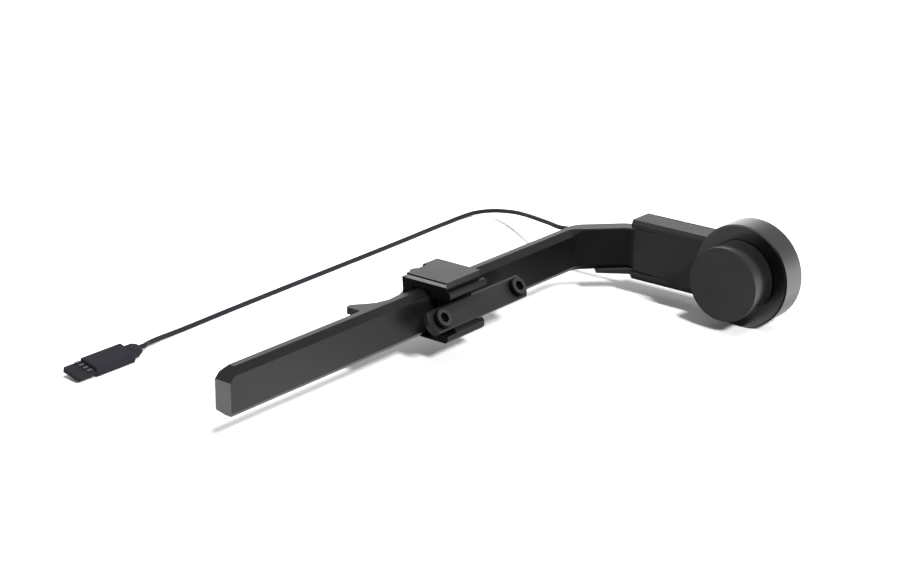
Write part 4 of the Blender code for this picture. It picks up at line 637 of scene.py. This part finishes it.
# %% Finishes for the pieces that stay as they are
CONTACTS = ("plug_contact_1", "plug_contact_2", "plug_contact_3", "plug_contact_4")
KEPT = (
    (STEEL, ("bar_screw_1", "bar_screw_2", "interface_board_screw_1", "interface_board_screw_2",
             "housing_screw_1", "housing_screw_2", "sensor_board_screw_1", "sensor_board_screw_2",
             "front_bearing", "rear_bearing", "knob_screw", "knob_shaft", "shaft_clip", "sensor_magnet",
             "screw_clip_1", "screw_clip_2", "plate_screw_1", "plate_screw_2", "pin_clip")),
    (SCREW_BLACK, ("box_cover_screw_1", "box_cover_screw_2", "box_cover_screw_3", "box_cover_screw_4",
                   "wheel_cover_screw_1", "wheel_cover_screw_2", "wheel_cover_screw_3")),
    (BOARD, ("interface_board", "sensor_board")),
    (MOULDED, ("board_header", "sensor_chip")),
    (CABLE_BLACK, ("inner_lead", "sensor_lead")),
    (CONTACT, CONTACTS),
    (FELT, ("drag_ring",)),
    (LINER_BLACK, ("bar_liner",)),
    (ACETAL, ("clamp_shoe",)),
)
for material, names in KEPT:
    for name in names:
        node = frame["nodes"][name]
        node.data.materials.clear()
        node.data.materials.append(material)
print("nodes with a new finish:", sum(len(names) for material, names in KEPT))

# %% [markdown]
# The cable takes its finish and joins the arm in place of the frame's cord, and the pieces of the plug at
# its far end are gathered in a list.

dress(cable, "arm", CABLE_BLACK, "cord")
plug_parts = [plug_collar, plug_body, plug_tongue]
plug_parts += [frame["nodes"][name] for name in CONTACTS]
print("pieces on the cable:", len(plug_parts))

# %% [markdown]
# ## Studio
# A black object shows what it reflects. The floor is white paper, but glossy rays look past it, so the
# black faces mirror the graded surround instead of glowing with the paper.

# %% Floor
FLOOR_SIDE = 12.0
clear_selection()
bpy.ops.mesh.primitive_plane_add(size=FLOOR_SIDE, location=(0.0, 0.0, 0.0))
floor = bpy.context.object
floor.name = "studio_floor"
paper = finish("studio_paper", (0.86, 0.86, 0.86), (0.88, 0.88, 0.88),
               rough=0.85, spread=0.02, grain=20.0, depth=0.00001, specular=0.0)
floor.data.materials.append(paper)
floor.visible_glossy = False
print("floor side in metres:", FLOOR_SIDE)

# %% [markdown]
# A dark sheet lies on the floor beside the bar, where only reflections see it: painted shade for the
# floor's shadow under the box and elbow, which makes the bar's front fade to black towards the elbow.

# %% Painted shade sheet for the bar's reflection
SHADE_SHEET_SIZE = 0.25
SHADE_SHEET_WIDTH = 0.065
SHADE_SHEET_HEIGHT = 0.0002
clear_selection()
bpy.ops.mesh.primitive_plane_add(size=SHADE_SHEET_SIZE, location=(0.0, 0.0, SHADE_SHEET_HEIGHT))
shade_sheet = bpy.context.object
shade_sheet.name = "painted_shade_sheet"
shade_sheet.scale = (SHADE_SHEET_WIDTH / SHADE_SHEET_SIZE, 1.0, 1.0)
apply_place(shade_sheet)
print("film in mm:", round(SHADE_SHEET_WIDTH * 1000), round(SHADE_SHEET_SIZE * 1000))

# %% [markdown]
# The sheet's painted shade follows its length. A colour ramp holds the share of light that it lets through,
# from clear at the bar's free end to nearly black towards the box.

# %% The sheet's painted shade
SHADE_SHEET_TINTS = ((0.00, 1.00), (0.30, 1.00), (0.50, 0.50), (0.70, 0.46), (0.77, 0.30), (0.84, 0.08))
tint = bpy.data.materials.new("painted_shade_tint")
tint.use_nodes = True
tint_nodes = tint.node_tree.nodes
tint_links = tint.node_tree.links
tint_nodes.remove(tint_nodes["Principled BSDF"])
clear = tint_nodes.new("ShaderNodeBsdfTransparent")
spot = tint_nodes.new("ShaderNodeTexCoord")
split = tint_nodes.new("ShaderNodeSeparateXYZ")
along = tint_nodes.new("ShaderNodeMapRange")
along.inputs["From Min"].default_value = -SHADE_SHEET_SIZE / 2
along.inputs["From Max"].default_value = SHADE_SHEET_SIZE / 2
shade = tint_nodes.new("ShaderNodeValToRGB")
stops = shade.color_ramp.elements
for index, (position, value) in enumerate(SHADE_SHEET_TINTS):
    stop = stops[index] if index < 2 else stops.new(position)
    stop.position = position
    stop.color = (value, value, value, 1.0)
tint_links.new(spot.outputs["Object"], split.inputs["Vector"])
tint_links.new(split.outputs["Y"], along.inputs["Value"])
tint_links.new(along.outputs["Result"], shade.inputs["Fac"])
tint_links.new(shade.outputs["Color"], clear.inputs["Color"])
tint_links.new(clear.outputs["BSDF"], tint_nodes["Material Output"].inputs["Surface"])
shade_sheet.data.materials.append(tint)
shade_sheet.visible_camera = False
shade_sheet.visible_diffuse = False
shade_sheet.visible_shadow = False
shade_sheet.visible_transmission = False
print("tint stops:", len(stops))

# %% [markdown]
# The surround's brightness follows the direction that a ray looks in: a bright band behind the object,
# dim above it, faint at the left and nearly dark at the camera's right. Each part is a smooth step along
# one direction.

# %% Two helpers for the surround
world = bpy.data.worlds.new("studio_surround")
world.use_nodes = True
wires = world.node_tree


def ramp(source, edges, levels):
    """A smooth step of a value from one level to another."""
    node = wires.nodes.new("ShaderNodeMapRange")
    node.interpolation_type = "SMOOTHSTEP"
    wires.links.new(source, node.inputs["Value"])
    for socket, value in zip(("From Min", "From Max", "To Min", "To Max"), (*edges, *levels)):
        node.inputs[socket].default_value = value
    return node.outputs["Result"]


def combine(operation, first, second):
    """Join a value and a second value or plain number by one piece of arithmetic."""
    node = wires.nodes.new("ShaderNodeMath")
    node.operation = operation
    wires.links.new(first, node.inputs[0])
    if isinstance(second, float):
        node.inputs[1].default_value = second
    else:
        wires.links.new(second, node.inputs[1])
    return node.outputs["Value"]


# %% [markdown]
# The band leans, so that it stands higher at the left than at the right, and it fades far below the
# horizon. The band is cut off at the front by multiplying, and the brighter of band, left and overhead
# light wins.

# %% Graded surround
BAND_LIGHT = 1.55
UPPER_LIGHT = 0.50
LEFT_LIGHT = 0.58
FRONT_LIGHT = 0.06
LOW_SHARE = 0.45
BAND_LEAN = 0.30
BEHIND_EDGES = (0.0, 0.55)
BAND_EDGES = (0.05, 0.55)
LOW_EDGES = (-0.65, -0.30)
LEFT_EDGES = (0.10, -0.50)
OVERHEAD_EDGES = (0.45, 0.85)
look = wires.nodes.new("ShaderNodeTexCoord")
axes = wires.nodes.new("ShaderNodeSeparateXYZ")
wires.links.new(look.outputs["Generated"], axes.inputs["Vector"])
behind = ramp(axes.outputs["Y"], BEHIND_EDGES, (0.0, 1.0))
height = combine("ADD", axes.outputs["Z"], combine("MULTIPLY", axes.outputs["X"], BAND_LEAN))
band = ramp(height, BAND_EDGES, (BAND_LIGHT, UPPER_LIGHT))
band = combine("MULTIPLY", band, ramp(height, LOW_EDGES, (LOW_SHARE, 1.0)))
left = ramp(axes.outputs["X"], LEFT_EDGES, (FRONT_LIGHT, LEFT_LIGHT))
overhead = ramp(axes.outputs["Z"], OVERHEAD_EDGES, (0.0, UPPER_LIGHT))
front = combine("MAXIMUM", left, overhead)
glow = combine("MAXIMUM", combine("MULTIPLY", behind, band), front)
wires.links.new(glow, wires.nodes["Background"].inputs["Strength"])
wires.nodes["Background"].inputs["Color"].default_value = (1.0, 1.0, 1.0, 1.0)
bpy.context.scene.world = world
bpy.context.scene.view_settings.view_transform = "Standard"
print("nodes in the surround:", len(wires.nodes))

# %% [markdown]
# Two soft boxes stand at the camera's right, one high and one lower. Where both are hidden the paper
# turns grey, and that gives the thin dark line that runs along under the bar. Reflections don't see them,
# so what the black faces mirror is the graded surround.

# %% Two soft boxes
LIGHT_DISTANCE = 3.0
LIGHT_SIDE = 0.36
LOW_DIRECTION = (1.20, -0.61, 1.00)
HIGH_DIRECTION = (0.43, -0.148, 1.00)
LOW_POWER = 140.0
HIGH_POWER = 95.0


def soft_box(name, direction, power):
    """An area light that looks at the middle of the floor."""
    place = Vector(direction).normalized() * LIGHT_DISTANCE
    bpy.ops.object.light_add(type="AREA", location=place)
    light = bpy.context.object
    light.name = name
    light.data.shape = "SQUARE"
    light.data.size = LIGHT_SIDE
    light.data.energy = power
    light.visible_glossy = False
    light.rotation_euler = (-place).to_track_quat("-Z", "Y").to_euler()
    print(name, "power in watts:", power)


soft_box("low_box", LOW_DIRECTION, LOW_POWER)
soft_box("high_box", HIGH_DIRECTION, HIGH_POWER)
